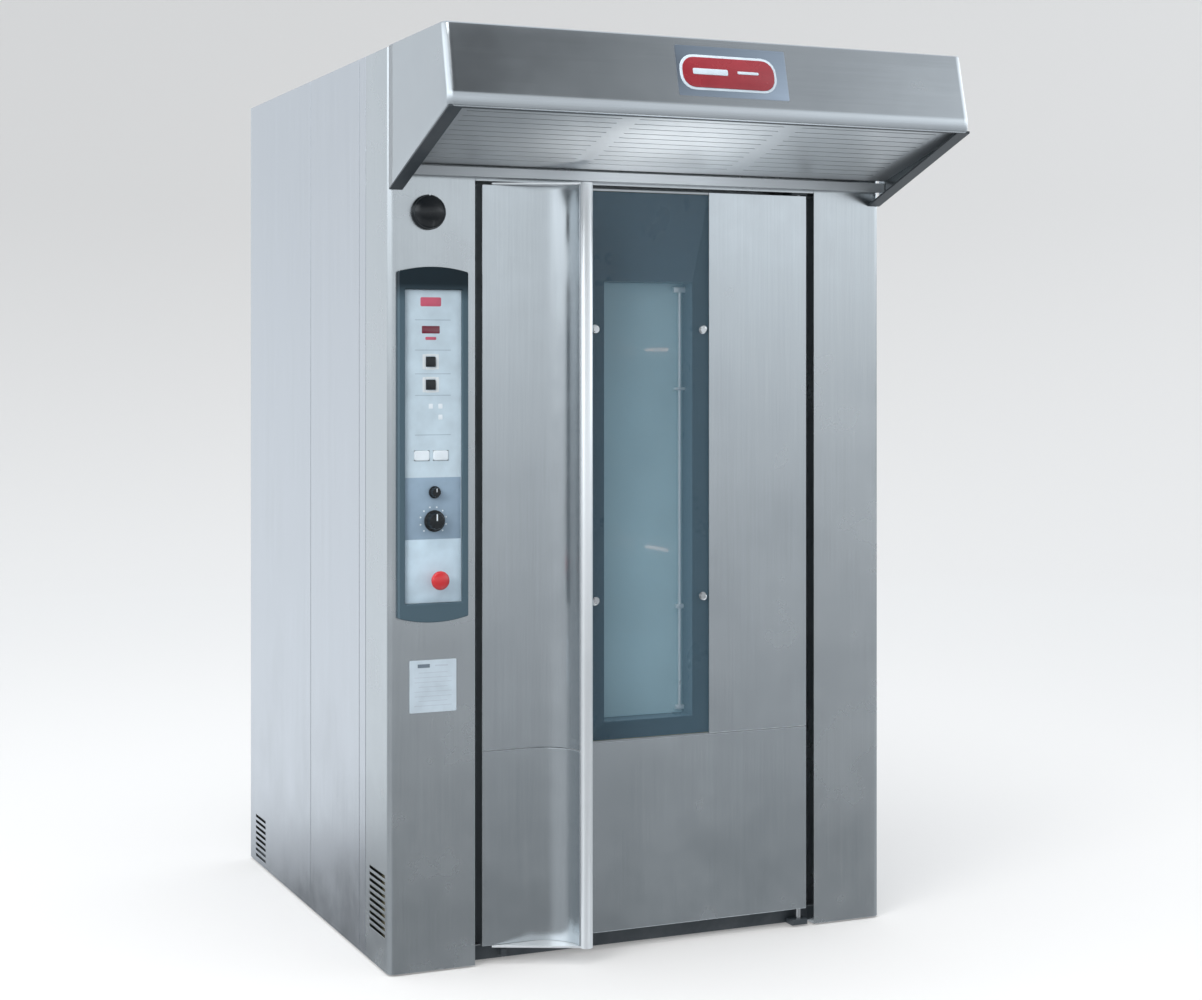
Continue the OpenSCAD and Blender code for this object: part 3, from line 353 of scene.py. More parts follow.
def moulded(name, tone, rough=0.35, grain=0.00004, coat=0.0, shine=0.5):
    """Moulded plastic: a fine spark-eroded grain and faint flow shading."""
    material, tree, shader = finish(name)
    fine = noise(tree, place_coords(tree, (1, 1, 1)), 1400.0, 2.0)
    flow = noise(tree, place_coords(tree, (1, 1, 1)), 22.0, 3.0)
    dark = tuple(c * 0.9 for c in tone)
    light = tuple(min(1, c * 1.06) for c in tone)
    tree.links.new(ramp(tree, flow, [(0.3, dark), (0.75, light)]), shader.inputs["Base Color"])
    tree.links.new(spread(tree, flow, rough - 0.03, rough + 0.05), shader.inputs["Roughness"])
    shader.inputs["Specular IOR Level"].default_value = shine
    shader.inputs["Coat Weight"].default_value = coat
    shader.inputs["Coat Roughness"].default_value = 0.08
    tree.links.new(bump(tree, fine, grain), shader.inputs["Normal"])
    return material


def mineral_wool(name, tone):
    """Pressed wool: tangled strands from stretched noise crossed by more noise."""
    material, tree, shader = finish(name)
    strands = noise(tree, place_coords(tree, (90, 90, 420)), 1.0, 5.0, 0.7)
    lumps = noise(tree, place_coords(tree, (1, 1, 1)), 18.0, 4.0)
    dark = tuple(c * 0.55 for c in tone)
    base = ramp(tree, strands, [(0.3, dark), (0.7, tone)])
    veil = ramp(tree, lumps, [(0.3, (0.8,) * 3), (0.7, (1, 1, 1))])
    tree.links.new(mixed(tree, 1.0, base, veil, "MULTIPLY"), shader.inputs["Base Color"])
    shader.inputs["Roughness"].default_value = 0.95
    shader.inputs["Sheen Weight"].default_value = 0.3
    tree.links.new(bump(tree, strands, 0.002), shader.inputs["Normal"])
    return material


def pane(name, tone, alpha):
    """A pane with a thin tinted coating: partly see-through, glossy, with faint wiped clouds."""
    material, tree, shader = finish(name)
    clouds = noise(tree, place_coords(tree, (1, 1, 1)), 4.0, 3.0)
    dark = tuple(c * 0.88 for c in tone)
    tree.links.new(ramp(tree, clouds, [(0.3, dark), (0.7, tone)]), shader.inputs["Base Color"])
    tree.links.new(spread(tree, clouds, 0.04, 0.09), shader.inputs["Roughness"])
    shader.inputs["Alpha"].default_value = alpha
    shader.inputs["IOR"].default_value = 1.5
    return material


def lamp_glass(name, tone, glow):
    """Frosted lamp glass that glows softly, stronger in its ribs."""
    material, tree, shader = finish(name)
    ribs = noise(tree, place_coords(tree, (1, 4, 120)), 1.0, 2.0)
    colour = ramp(tree, ribs, [(0.3, tuple(c * 0.8 for c in tone)), (0.7, tone)])
    tree.links.new(colour, shader.inputs["Base Color"])
    tree.links.new(colour, shader.inputs["Emission Color"])
    shader.inputs["Emission Strength"].default_value = glow
    shader.inputs["Roughness"].default_value = 0.4
    return material


# ---- The finishes, by the record's slots ----

finishes = {
    "front_steel": brushed_steel("front_steel", (0.60, 0.63, 0.645), "z", 0.24),
    "side_steel": brushed_steel("side_steel", (0.62, 0.645, 0.68), "z", 0.21, 0.0006, 0.03),
    "door_steel": brushed_steel("door_steel", (0.60, 0.635, 0.655), "z", 0.22, 0.0014),
    "pull_steel": brushed_steel("pull_steel", (0.95, 0.97, 0.98), "z", 0.3, 0.0, 0.015),
    "hood_steel": brushed_steel("hood_steel", (0.56, 0.59, 0.61), "x", 0.22, 0.0012),
    "inner_steel": brushed_steel("inner_steel", (0.50, 0.52, 0.53), "z", 0.34),
    "galvanised_sheet": galvanised("galvanised_sheet", (0.62, 0.64, 0.65)),
    "frame_paint": painted("frame_paint", (0.034, 0.043, 0.050), 0.5),
    "foot_rubber": rubber("foot_rubber", (0.03, 0.03, 0.032)),
    "mineral_wool": mineral_wool("mineral_wool", (0.62, 0.54, 0.30)),
    "element_steel": painted("element_steel", (0.10, 0.092, 0.09), 0.5, 0.0001, 0.8),
    "steam_steel": brushed_steel("steam_steel", (0.42, 0.43, 0.43), "x", 0.4),
    "lamp_glass": lamp_glass("lamp_glass", (0.62, 0.52, 0.46), 0.12),
    "motor_paint": painted("motor_paint", (0.10, 0.17, 0.26), 0.4),
    "wheel_steel": brushed_steel("wheel_steel", (0.50, 0.51, 0.52), "x", 0.36),
    "shaft_steel": brushed_steel("shaft_steel", (0.70, 0.71, 0.72), "x", 0.18),
    "cast_iron": painted("cast_iron", (0.14, 0.15, 0.16), 0.6, 0.0006),
    "belt_rubber": rubber("belt_rubber", (0.02, 0.02, 0.02)),
    "badge_red": moulded("badge_red", (0.29, 0.024, 0.034), 0.25, 0.00001, 0.4),
    "label_white": moulded("label_white", (0.58, 0.66, 0.72), 0.45, 0.00002),
    "bezel_plastic": moulded("bezel_plastic", (0.009, 0.019, 0.026), 0.42, 0.00005, 0.0, 0.22),
    "overlay_film": moulded("overlay_film", (0.57, 0.68, 0.75), 0.4, 0.00002),
    "board_plastic": moulded("board_plastic", (0.08, 0.10, 0.11), 0.5),
    "button_black": moulded("button_black", (0.008, 0.010, 0.012), 0.3, 0.00001, 0.25, 0.35),
    "key_white": moulded("key_white", (0.80, 0.86, 0.90), 0.3, 0.00001, 0.3),
    "stop_red": moulded("stop_red", (0.60, 0.03, 0.035), 0.28, 0.00001, 0.4),
    "pane_glass": pane("pane_glass", (0.22, 0.38, 0.48), 0.2),
    "border_black": painted("border_black", (0.050, 0.085, 0.118), 0.3, 0.00003, 0.0, 0.04),
    "seal_rubber": rubber("seal_rubber", (0.012, 0.014, 0.015)),
}
PULL_METALLIC = 0.62
finishes["pull_steel"].node_tree.nodes["Principled BSDF"].inputs["Metallic"].default_value = PULL_METALLIC
slot_of = {s["node"]: s["material_slot"] for s in frame["record"]["subparts"]}


def bezel_painted_sheen(material, pale, low, high):
    """Painted reflection: a pale tone that stands in for the sheen on the bezel's sides fades in between two
    heights, below the bezel's dark head.
    """
    tree, shader = material.node_tree, material.node_tree.nodes["Principled BSDF"]
    plain_base = shader.inputs["Base Color"].links[0].from_socket
    height = tree.nodes.new("ShaderNodeSeparateXYZ")
    tree.links.new(place_coords(tree, (1, 1, 1)), height.inputs["Vector"])
    fade = spread(tree, height.outputs["Z"], 0.9, 0, low, high)
    tree.links.new(mixed(tree, fade, plain_base, (*pale, 1)), shader.inputs["Base Color"])


BEZEL_TOP = span("control_bezel")[1][2]
# The bezel's paler sides below its head are a painted reflection.
bezel_painted_sheen(finishes["bezel_plastic"], (0.082, 0.130, 0.160), BEZEL_TOP - 0.091, BEZEL_TOP - 0.046)


# ---- CAD nodes dressed with rounded edges ----

EDGE_ANGLE = 35


def soft_edges(obj, width):
    """Edges sharper than the edge angle rounded to the width, and smooth shading between them."""
    rounding = obj.modifiers.new("edges", "BEVEL")
    rounding.width = width
    rounding.segments = 2
    rounding.limit_method = "ANGLE"
    rounding.angle_limit = math.radians(EDGE_ANGLE)
    rounding.harden_normals = True
    finish_mesh(obj)


def dressed(node, edge):
    """A copy of the node with its doubled corners merged, flat triangles joined and its sharp
    edges rounded to the edge radius; it stands for the node."""
    source = frame["nodes"][node]
    mesh = source.data.copy()
    mesh.name = node + "_shape"
    if "custom_normal" in mesh.attributes:
        mesh.attributes.remove(mesh.attributes["custom_normal"])
    bm = bmesh.new()
    bm.from_mesh(mesh)
    bmesh.ops.remove_doubles(bm, verts=bm.verts, dist=2e-6)
    bmesh.ops.dissolve_limit(bm, angle_limit=math.radians(0.4), verts=bm.verts, edges=bm.edges)
    bm.to_mesh(mesh)
    bm.free()
    slot = slot_of[node]
    obj = add_piece(node + "_dressed", mesh, source["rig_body"], finishes[slot], [node])
    soft_edges(obj, edge)
    return obj


for plain_node, plain_object in frame["nodes"].items():
    for holder in plain_object.material_slots:
        holder.material = finishes[slot_of[plain_node]]

EDGES = {
    "left_column": 0.8, "right_column": 0.8, "lintel": 0.8, "left_panels": 0.8,
    "right_panels": 0.8, "rear_panel": 0.7, "roof_deck": 0.6,
    "hood_gutter": 0.7, "door_skin_left": 1.2, "door_skin_front": 1.2, "door_box": 0.7,
    "window_frame": 0.8, "door_jamb": 1.0, "base_frame": 2.0,
    "cabinet_frame": 2.0, "hinge_brackets": 1.2, "door_gasket": 2.0, "door_pivots": 1.0,
    "fan_motor": 1.0, "gearmotor": 1.0, "hood_fan_housing": 0.7, "exhaust_pipe": 0.6,
    "exhaust_damper": 0.6, "motor_pulley": 0.8, "shaft_pulley": 0.8, "drive_belt": 0.8,
    "shaft_bearing": 1.5, "hook_beam": 1.2, "steam_generator": 0.8, "chamber_lamps": 3.0,
    "control_bezel": 6.0, "control_membrane": 0.4, "feet": 1.5,
}
dressed_nodes = {n: dressed(n, w * MM) for n, w in EDGES.items()}


# ---- Hood ----

HOOD_SHEET = 0.002
HOOD_RISE = 0.167
BAND_H = 0.037
BEND = 0.005
CORNER_R = 0.022
FOLD_R = 0.005
LIP_D = 0.030
TRIM_W = 0.038
TRIM_T = 0.006
FASCIA_Z = CHEEK_Z + HOOD_RISE
FASCIA_LEAN = 0.044


def fascia_depth(z):
    """Depth of the fascia at a height: upright along the band, then a straight slant to the top,
    with a parabola over the bend between them."""
    up = np.clip(z - FASCIA_Z - BAND_H, -BEND, TOP - FASCIA_Z - BAND_H)
    slope = FASCIA_LEAN / (TOP - FASCIA_Z - BAND_H)
    eased = np.where(up < BEND, (up + BEND) ** 2 / (4 * BEND), up)
    return HOOD_FRONT + slope * eased


def hood_wrap():
    """The hood's outer sheet, from the left cheek's back edge round the front to the right cheek's.
    Along the sheet a cheek's depth grows in proportion from the cabinet to the corner, a quarter
    circle turns the corner, and the fascia runs straight across. Up the sheet a small quarter
    circle folds in at the lower and upper edges, and the face between them goes in proportion from
    the lower edge, slanted under the cheeks and level under the fascia, to the level top."""
    fold = np.linspace(0, np.pi / 2, 4)
    face_h = TOP - FASCIA_Z - 2 * FOLD_R
    bend = (BAND_H - FOLD_R + np.linspace(-BEND, BEND, 5)) / face_h
    share = np.concatenate([np.zeros(4), bend, np.linspace(bend[-1], 1, 6)[1:-1], np.ones(4)])
    flat = np.zeros(len(share) - 8)
    lift = np.concatenate([-np.sin(fold[::-1]), flat, np.sin(fold)]) * FOLD_R
    inward = np.concatenate([1 - np.cos(fold[::-1]), flat, 1 - np.cos(fold)]) * FOLD_R
    rows = []
    for c in np.linspace(0, 1, 12)[:-1]:
        foot = CHEEK_Z + HOOD_RISE * c
        z = (foot + FOLD_R) * (1 - share) + (TOP - FOLD_R) * share + lift
        reach = fascia_depth(z) + CORNER_R - FRONT
        rows.append(np.column_stack([inward - HALF_W, FRONT + reach * c, z]))
    z = (FASCIA_Z + FOLD_R) * (1 - share) + (TOP - FOLD_R) * share + lift
    for t in np.linspace(0, np.pi / 2, 9):
        round_r = CORNER_R - inward
        x = CORNER_R - HALF_W - round_r * np.cos(t)
        y = fascia_depth(z) + CORNER_R - round_r * np.sin(t)
        rows.append(np.column_stack([x, y, z]))
    left = np.array(rows)
    points = np.concatenate([left, left[::-1] * [-1, 1, 1]])
    faces = grid_faces(len(points), points.shape[1], wrap_cols=False).tolist()
    return mesh_of("hood_wrap", points, faces)


def build_hood():
    """The outer sheet with its wall thickness, the top sheet, the lip under the fascia, dark as a painted
    shadow, and the dark edge trims, each a strip of four corners carried along the cheek's slanted lower
    edge."""
    steel = finishes["hood_steel"]
    wrap = add_piece("hood_wrap", hood_wrap(), "cabinet", steel, ["hood_shell"])
    finish_mesh(wrap, 50)
    wall = wrap.modifiers.new("wall", "SOLIDIFY")
    wall.thickness = HOOD_SHEET
    wall.offset = -1
    gap = FOLD_R
    y0, y1 = HOOD_FRONT + FASCIA_LEAN + gap, FRONT
    x = HALF_W - gap
    plan = np.array([[-x, y1], [-x, y0 + gap], [gap - x, y0], [x - gap, y0], [x, y0 + gap], [x, y1]])
    rings = [np.column_stack([plan, np.full(len(plan), z)]) for z in (TOP - HOOD_SHEET, TOP - 0.0002)]
    top = add_piece("hood_top_sheet", ring_solid("hood_top_sheet", rings), "cabinet", steel)
    soft_edges(top, 0.0006)
    lip_y = (HOOD_FRONT + gap * 0.8, HOOD_FRONT + LIP_D)
    section = np.array([[lip_y[0], 0], [lip_y[1], 0], [lip_y[1], HOOD_SHEET], [lip_y[0], HOOD_SHEET]])
    rings = [np.column_stack([np.full(4, side), section[:, 0], section[:, 1] + FASCIA_Z])
             for side in (CORNER_R - HALF_W, HALF_W - CORNER_R)]
    dark = finishes["frame_paint"]
    # The lip takes the dark paint as a painted shadow under the fascia's band.
    lip = add_piece("hood_lip", ring_solid("hood_lip", rings), "cabinet", dark)
    soft_edges(lip, 0.0006)
    for side, sign in (("left", -1), ("right", 1)):
        x0, x1 = sign * (HALF_W - 0.0005), sign * (HALF_W - TRIM_W)
        rings = []
        for share in (0, 1):
            y = FRONT - 0.0005 + (HOOD_FRONT + 0.004 - FRONT) * share
            z = CHEEK_Z + HOOD_RISE * share
            rings.append([[x0, y, z], [x1, y, z], [x1, y, z + TRIM_T], [x0, y, z + TRIM_T]])
        shape = ring_solid(f"hood_trim_{side}", rings)
        trim = add_piece(f"hood_trim_{side}", shape, "cabinet", dark)
        soft_edges(trim, 0.001)


build_hood()


def underside_painted_highlight(name):
    """The underside's steel, painted light: the brushed finish in a pale tone, only partly metallic so
    that it scatters light, and a little duller towards both ends of its length in painted shade."""
    # A pale, partly metallic copy of the brushed steel stands in for light on the underside.
    material = brushed_steel(name, (0.86, 0.89, 0.91), "x", 0.42, 0.0010)
    tree, shader = material.node_tree, material.node_tree.nodes["Principled BSDF"]
    plain_base = shader.inputs["Base Color"].links[0].from_socket
    along = tree.nodes.new("ShaderNodeSeparateXYZ")
    tree.links.new(place_coords(tree, (1, 1, 1)), along.inputs["Vector"])
    shares = ((0.05, 0.55), (0.33, 0.84), (0.42, 1), (0.60, 1), (0.88, 0.60))
    # Painted shade towards both ends of the underside leaves a painted highlight in its middle.
    shade = ramp(tree, spread(tree, along.outputs["X"], 0, 1, -HALF_W, HALF_W),
                 [(place, (share,) * 3) for place, share in shares])
    tree.links.new(mixed(tree, 1.0, plain_base, shade, "MULTIPLY"), shader.inputs["Base Color"])
    shader.inputs["Metallic"].default_value = 0.6
    return material


grille = dressed("hood_underside", 0.7 * MM)
# The underside takes the pale steel with its painted highlight and painted shade.
grille.data.materials[0] = underside_painted_highlight("underside_steel")
# The gutter takes the underside's pale steel with its painted highlight: painted light where the gutter lies
# in the hood's shade.
dressed_nodes["hood_gutter"].data.materials[0] = grille.data.materials[0]


# ---- Badge ----

def build_badge():
    """A stadium-shaped enamel badge on the slanted fascia: a bluish patch behind it, a pale rim, a red
    field and two pale bars, each a rounded plate tilted with the fascia."""
    lo, hi = span("badge_plate")
    centre = (lo + hi) / 2
    centre[1] = fascia_depth(centre[2]) - 0.0002
    lean = math.atan(FASCIA_LEAN / (TOP - FASCIA_Z - BAND_H))
    c, s = math.cos(lean), math.sin(lean)
    w, h = hi[0] - lo[0], (hi[2] - lo[2]) / c

    def layer(name, size, corner, start, depth, offset, slot):
        mesh = edged_plate(name, (0, 0, 0), size, corner, depth, min(depth * 0.6, 0.0012))
        co = np.zeros(len(mesh.vertices) * 3)
        mesh.vertices.foreach_get("co", co)
        co = co.reshape(-1, 3) + [offset[0], -start, offset[1]]
        y = co[:, 1] * c + co[:, 2] * s
        z = -co[:, 1] * s + co[:, 2] * c
        mesh.vertices.foreach_set("co", (np.column_stack([co[:, 0], y, z]) + centre).ravel())
        piece = add_piece(name, mesh, "cabinet", finishes[slot])
        finish_mesh(piece)
        return piece

    # A bluish metal patch, larger than the badge, lies behind it on the fascia.
    film = layer("badge_patch", (w * 1.14, h * 1.42), 0.004, 0, 0.0003, (0.012, 0.004), "hood_steel")
    film.data.materials[0] = brushed_steel("badge_patch_blue", (0.40, 0.47, 0.56), "x", 0.3)
    rim = layer("badge_rim", (w, h), h * 0.42, 0, 0.002, (0, 0), "label_white")
    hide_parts("badge_plate")
    layer("badge_field", (w - 0.014, h - 0.014), h * 0.36, 0.0015, 0.002, (0, 0), "badge_red")
    layer("badge_bar_left", (w * 0.36, h * 0.17), 0.004, 0.003, 0.0012, (-w * 0.19, 0.002), "label_white")
    layer("badge_bar_right", (w * 0.22, h * 0.08), 0.003, 0.003, 0.0012, (w * 0.2, 0.004), "label_white")


build_badge()


# ---- Controls ----

def front_turned(name, node, profile, body, slot):
    """A turned piece that faces the front and stands for the node, centred on it, its height
    measured forward from the cabinet's front plane."""
    mid = middle(node)
    rings = facing_front(turned_rings(profile, 56), (mid[0], FRONT, mid[2]))
    finish_mesh(add_piece(name, ring_solid(name, rings), body, finishes[slot], [node]), 40)


def arc_profile(radius, height, start, steps=12):
    """A quarter ellipse from the rim at the start height to the pole."""
    turn = np.linspace(0, np.pi / 2, steps)
    r = radius * np.cos(turn)
    r[-1] = radius * 0.01
    return np.column_stack([r, start + height * np.sin(turn)])


def build_main_switch():
    """The main switch: a turned base, a waist and a low dome, with a pale mark near its rim."""
    lo, hi = span("main_switch")
    r = (hi[0] - lo[0]) / 2
    reach = FRONT - lo[1]
    back = FRONT - hi[1]
    dome = arc_profile(r * 0.94, reach * 0.55, reach * 0.45)
    profile = np.vstack([[r * 0.9, back], [r * 0.99, back + 0.001], [r, back + 0.003],
                         [r, reach * 0.22], [r * 0.96, reach * 0.28], [r * 0.94, reach * 0.34], dome])
    front_turned("main_switch_dome", "main_switch", profile, "main_switch_knob", "button_black")
    mid = middle("main_switch")
    mark = edged_plate("main_switch_mark", (mid[0], FRONT - reach * 0.40, mid[2] + r * 0.90),
                       (0.004, 0.010), 0.0015, 0.002, 0.0006)
    add_piece("main_switch_mark", mark, "main_switch_knob", finishes["key_white"])


build_main_switch()


def build_button(node, body, slot, corner, crown):
    """A push button with a rounded face and edge."""
    lo, hi = span(node)
    mid = (lo + hi) / 2
    mesh = edged_plate(node + "_cap", (mid[0], hi[1], mid[2]), (hi[0] - lo[0], hi[2] - lo[2]),
                       corner, hi[1] - lo[1], crown, 6)
    piece = add_piece(node + "_cap", mesh, body, finishes[slot], [node])
    finish_mesh(piece, 50)


build_button("button_upper", "upper_button", "button_black", 0.003, 0.0025)
build_button("button_lower", "lower_button", "button_black", 0.003, 0.0025)
build_button("key_left", "left_key", "key_white", 0.006, 0.003)
build_button("key_right", "right_key", "key_white", 0.006, 0.003)


def build_selector(node, body):
    """A selector knob: a skirt, a fluted grip whose radius swells and sinks ten times round, and a
    pale pointer."""
    lo, hi = span(node)
    mid = (lo + hi) / 2
    r = (hi[0] - lo[0]) / 2
    reach, back = FRONT - lo[1], FRONT - hi[1]
    skirt = back + (reach - back) * 0.62
    profile = np.array([
        [r * 0.3, back], [r * 0.3, skirt - 0.006], [r * 0.96, skirt - 0.006], [r, skirt - 0.004],
        [r * 0.99, skirt - 0.001], [r * 0.86, skirt], [r * 0.80, skirt + 0.002],
        [r * 0.76, reach - 0.003], [r * 0.72, reach - 0.001], [r * 0.66, reach], [r * 0.02, reach],
    ])
    rings = turned_rings(profile, 120)
    turn = np.linspace(0, 2 * np.pi, 120, endpoint=False)
    flute = 1 - 0.035 * (1 + np.cos(10 * turn))
    rings[5:9, :, :2] *= flute[None, :, None]
    rings = facing_front(rings, (mid[0], FRONT, mid[2]))
    knob = ring_solid(node, rings)
    finish_mesh(add_piece(node + "_knob", knob, body, finishes["button_black"], [node]), 40)
    line = edged_plate(node + "_pointer", (mid[0], FRONT - reach + 0.0006, mid[2] + r * 0.36),
                       (r * 0.12, r * 0.62), r * 0.05, 0.0011, 0.0004)
    add_piece(node + "_pointer", line, body, finishes["key_white"])


build_selector("selector_small", "small_selector")
build_selector("selector_large", "large_selector")


def build_stop():
    """The emergency stop: a stem, a mushroom head with a rolled rim and a low dome."""
    lo, hi = span("estop_button")
    r = (hi[0] - lo[0]) / 2
    reach, back = FRONT - lo[1], FRONT - hi[1]
    rim = reach - 0.010
    profile = np.vstack([
        [r * 0.43, back], [r * 0.43, rim - 0.008], [r * 0.6, rim - 0.006], [r * 0.95, rim - 0.005],
        [r, rim - 0.0025], [r, rim], arc_profile(r * 0.985, reach - rim - 0.001, rim + 0.001, 9),
    ])
    front_turned("stop_mushroom", "estop_button", profile, "emergency_stop", "stop_red")


build_stop()


FILM = 0.00025


def printed_field(name, x, z, w, h, material, corner=0.002, level=0):
    """A printed field: a film that lies on the overlay, or on the field below it."""
    face = span("control_membrane")[0][1]
    mesh = edged_plate(name, (x, face - level * FILM * 0.8, z), (w, h), corner, FILM, FILM * 0.4, 3)
    finish_mesh(add_piece(name, mesh, "cabinet", material))


def build_overlay():
    """The overlay's print: a lower field, the band behind the selectors, the display, frames
    round the buttons, small lights and rules, and ten dots round the large selector."""
    band = moulded("overlay_band", (0.29, 0.39, 0.49), 0.4, 0.00002)
    pale = moulded("overlay_pale", (0.56, 0.69, 0.78), 0.4, 0.00002)
    dark = moulded("display_window", (0.16, 0.012, 0.03), 0.15, 0.00001, 0.6)
    mark = moulded("overlay_mark", (0.58, 0.10, 0.16), 0.3, 0.00001)
    line = moulded("overlay_line", (0.34, 0.43, 0.50), 0.36, 0.00001)
    ring = moulded("overlay_ring", (0.74, 0.78, 0.80), 0.36, 0.00001)
    lo, hi = span("control_membrane")
    mid_x, film_w = (lo[0] + hi[0]) / 2, hi[0] - lo[0] - 0.004
    up, down, large = middle("button_upper"), middle("button_lower"), middle("selector_large")
    low_edge, high_edge, foot = 1.153, 1.317, lo[2] + 0.002
    printed_field("overlay_lower_field", mid_x, (foot + low_edge) / 2, film_w, low_edge - foot,
                  pale)
    printed_field("overlay_knob_band", mid_x, (low_edge + high_edge) / 2, film_w, high_edge - low_edge,
                  band, 0.001)
    printed_field("overlay_mark_block", up[0], hi[2] - 0.032, 0.058, 0.024, mark, 0.004)
    printed_field("display_window", up[0], hi[2] - 0.106, 0.050, 0.020, dark)
    printed_field("display_bar", up[0], hi[2] - 0.129, 0.030, 0.008, mark)
    for name, mid in (("upper", up), ("lower", down)):
        for side, sign in (("left", -1), ("right", 1)):
            printed_field(f"button_{name}_frame_{side}", mid[0] + sign * 0.0185, mid[2], 0.009, 0.040,
                          ring)
        for side, sign in (("top", 1), ("bottom", -1)):
            printed_field(f"button_{name}_frame_{side}", mid[0], mid[2] + sign * 0.018, 0.028, 0.006,
                          ring)
    for i, (dx, z) in enumerate(((0.0, 1.506), (0.027, 1.506), (0.027, 1.477))):
        printed_field(f"status_light_{i}", up[0] + dx, z, 0.012, 0.013, finishes["key_white"])
    for i, z in enumerate((1.735, 1.655, 1.592, 1.535, 1.430)):
        printed_field(f"overlay_rule_{i}", up[0] + 0.006, z, 0.10, 0.0016, line, 0.0005)
    reach = 0.037
    for i, turn in enumerate(np.radians(np.linspace(-135, 135, 10))):
        printed_field(f"dial_dot_{i}", large[0] + reach * math.sin(turn), large[2] + reach * math.cos(turn),
                      0.0045, 0.0045, finishes["key_white"], 0.002, 1)


build_overlay()


# ---- Rating plate ----

def build_rating_plate():
    """A white film with a dark corner block and ruled grey bars in place of print."""
    lo, hi = span("rating_plate")
    mid, w, h = (lo + hi) / 2, hi[0] - lo[0], hi[2] - lo[2]
    sheet = edged_plate("rating_sheet", (mid[0], hi[1], mid[2]), (w, h), 0.003, hi[1] - lo[1], 0.0003)
    add_piece("rating_sheet", sheet, "cabinet", finishes["label_white"], ["rating_plate"])
    ink = moulded("plate_ink", (0.16, 0.20, 0.24), 0.5)
    faint = moulded("plate_rule", (0.50, 0.56, 0.62), 0.5)
    face = lo[1]

    def bar(name, x, z, bw, bh, material):
        mesh = edged_plate(name, (lo[0] + x, face, hi[2] - z), (bw, bh), 0.0008, 0.0002, 0.0001, 3)
        add_piece(name, mesh, "cabinet", material)

    bar("rating_header", w * 0.30, h * 0.11, w * 0.26, h * 0.07, ink)
    bar("rating_subheader", w * 0.68, h * 0.11, w * 0.28, h * 0.03, faint)
    for i in range(8):
        length = w * (0.80 if i % 3 else 0.62)
        bar(f"rating_rule_{i}", w * 0.5, h * (0.24 + 0.09 * i), length, h * 0.014, faint)


build_rating_plate()


# ---- Door pull ----

def build_pull():
    """The pull: a rounded-oval tube (a superellipse section carried up the door, a little smaller
    at its ends) and a flat gusset at each end."""
    lo, hi = span("door_pull")
    steel = finishes["pull_steel"]
    rim_w, rim_d, power = 0.034, 0.030, 2.3
    centre = np.array([hi[0] - rim_w / 2, lo[1] + rim_d / 2])
    turn = np.linspace(0, 2 * np.pi, 40, endpoint=False)
    x = np.sign(np.cos(turn)) * np.abs(np.cos(turn)) ** (2 / power) * rim_w / 2
    y = np.sign(np.sin(turn)) * np.abs(np.sin(turn)) ** (2 / power) * rim_d / 2
    edge = 0.002
    ends = [(lo[2], 1 - 2 * edge / rim_d), (lo[2] + edge * 0.3, 1 - 0.6 * edge / rim_d), (lo[2] + edge, 1),
            (hi[2] - edge, 1), (hi[2] - edge * 0.3, 1 - 0.6 * edge / rim_d), (hi[2], 1 - 2 * edge / rim_d)]
    rings = [np.column_stack([centre[0] + x * k, centre[1] + y * k, np.full(len(x), z)]) for z, k in ends]
    tube = ring_solid("pull_tube", rings)
    finish_mesh(add_piece("pull_tube", tube, "door", steel, ["door_pull"]), 50)
    plate_t = 0.006
    plan = np.array([[lo[0], FRONT], [centre[0] - 0.012, lo[1] + 0.014], [centre[0] + 0.010, lo[1] + 0.014],
                     [centre[0] + 0.010, FRONT]])
    for name, z in (("bottom", lo[2]), ("top", hi[2] - plate_t)):
        faces = (z + 0.0002, z + plate_t - 0.0002)
        rings = [np.column_stack([plan, np.full(len(plan), h)]) for h in faces]
        gusset = ring_solid("gusset", rings)
        soft_edges(add_piece(f"pull_gusset_{name}", gusset, "door", steel), 0.0012)


build_pull()


# ---- Door glass ----

def upright_rod(name, x, y, z, radius, body, slot):
    """A round bar between two heights, with a slightly smaller ring at each end."""
    ends = [(radius * 0.8, z[0]), (radius, z[0] + 0.001), (radius, z[1] - 0.001), (radius * 0.8, z[1])]
    rings = turned_rings(ends, 20) + [x, y, 0]
    finish_mesh(add_piece(name, ring_solid(name, rings), body, finishes[slot]), 40)


def split_pane(name, material, keep_back, replaces=()):
    """One of the two panes: a copy of the node without the faces on the other side of the gap."""
    source = frame["nodes"]["door_glass"]
    lo, hi = span("door_glass")
    bm = bmesh.new()
    bm.from_mesh(source.data)
    half = (lo[1] + hi[1]) / 2
    away = [f for f in bm.faces if (f.calc_center_median().y > half) != keep_back]
    bmesh.ops.delete(bm, geom=away, context="FACES")
    bmesh.ops.remove_doubles(bm, verts=bm.verts, dist=2e-6)
    bmesh.ops.dissolve_limit(bm, angle_limit=math.radians(0.4), verts=bm.verts, edges=bm.edges)
    mesh = bpy.data.meshes.new(name)
    bm.to_mesh(mesh)
    bm.free()
    piece = add_piece(name, mesh, "door", material, replaces)
    soft_edges(piece, 0.0012)


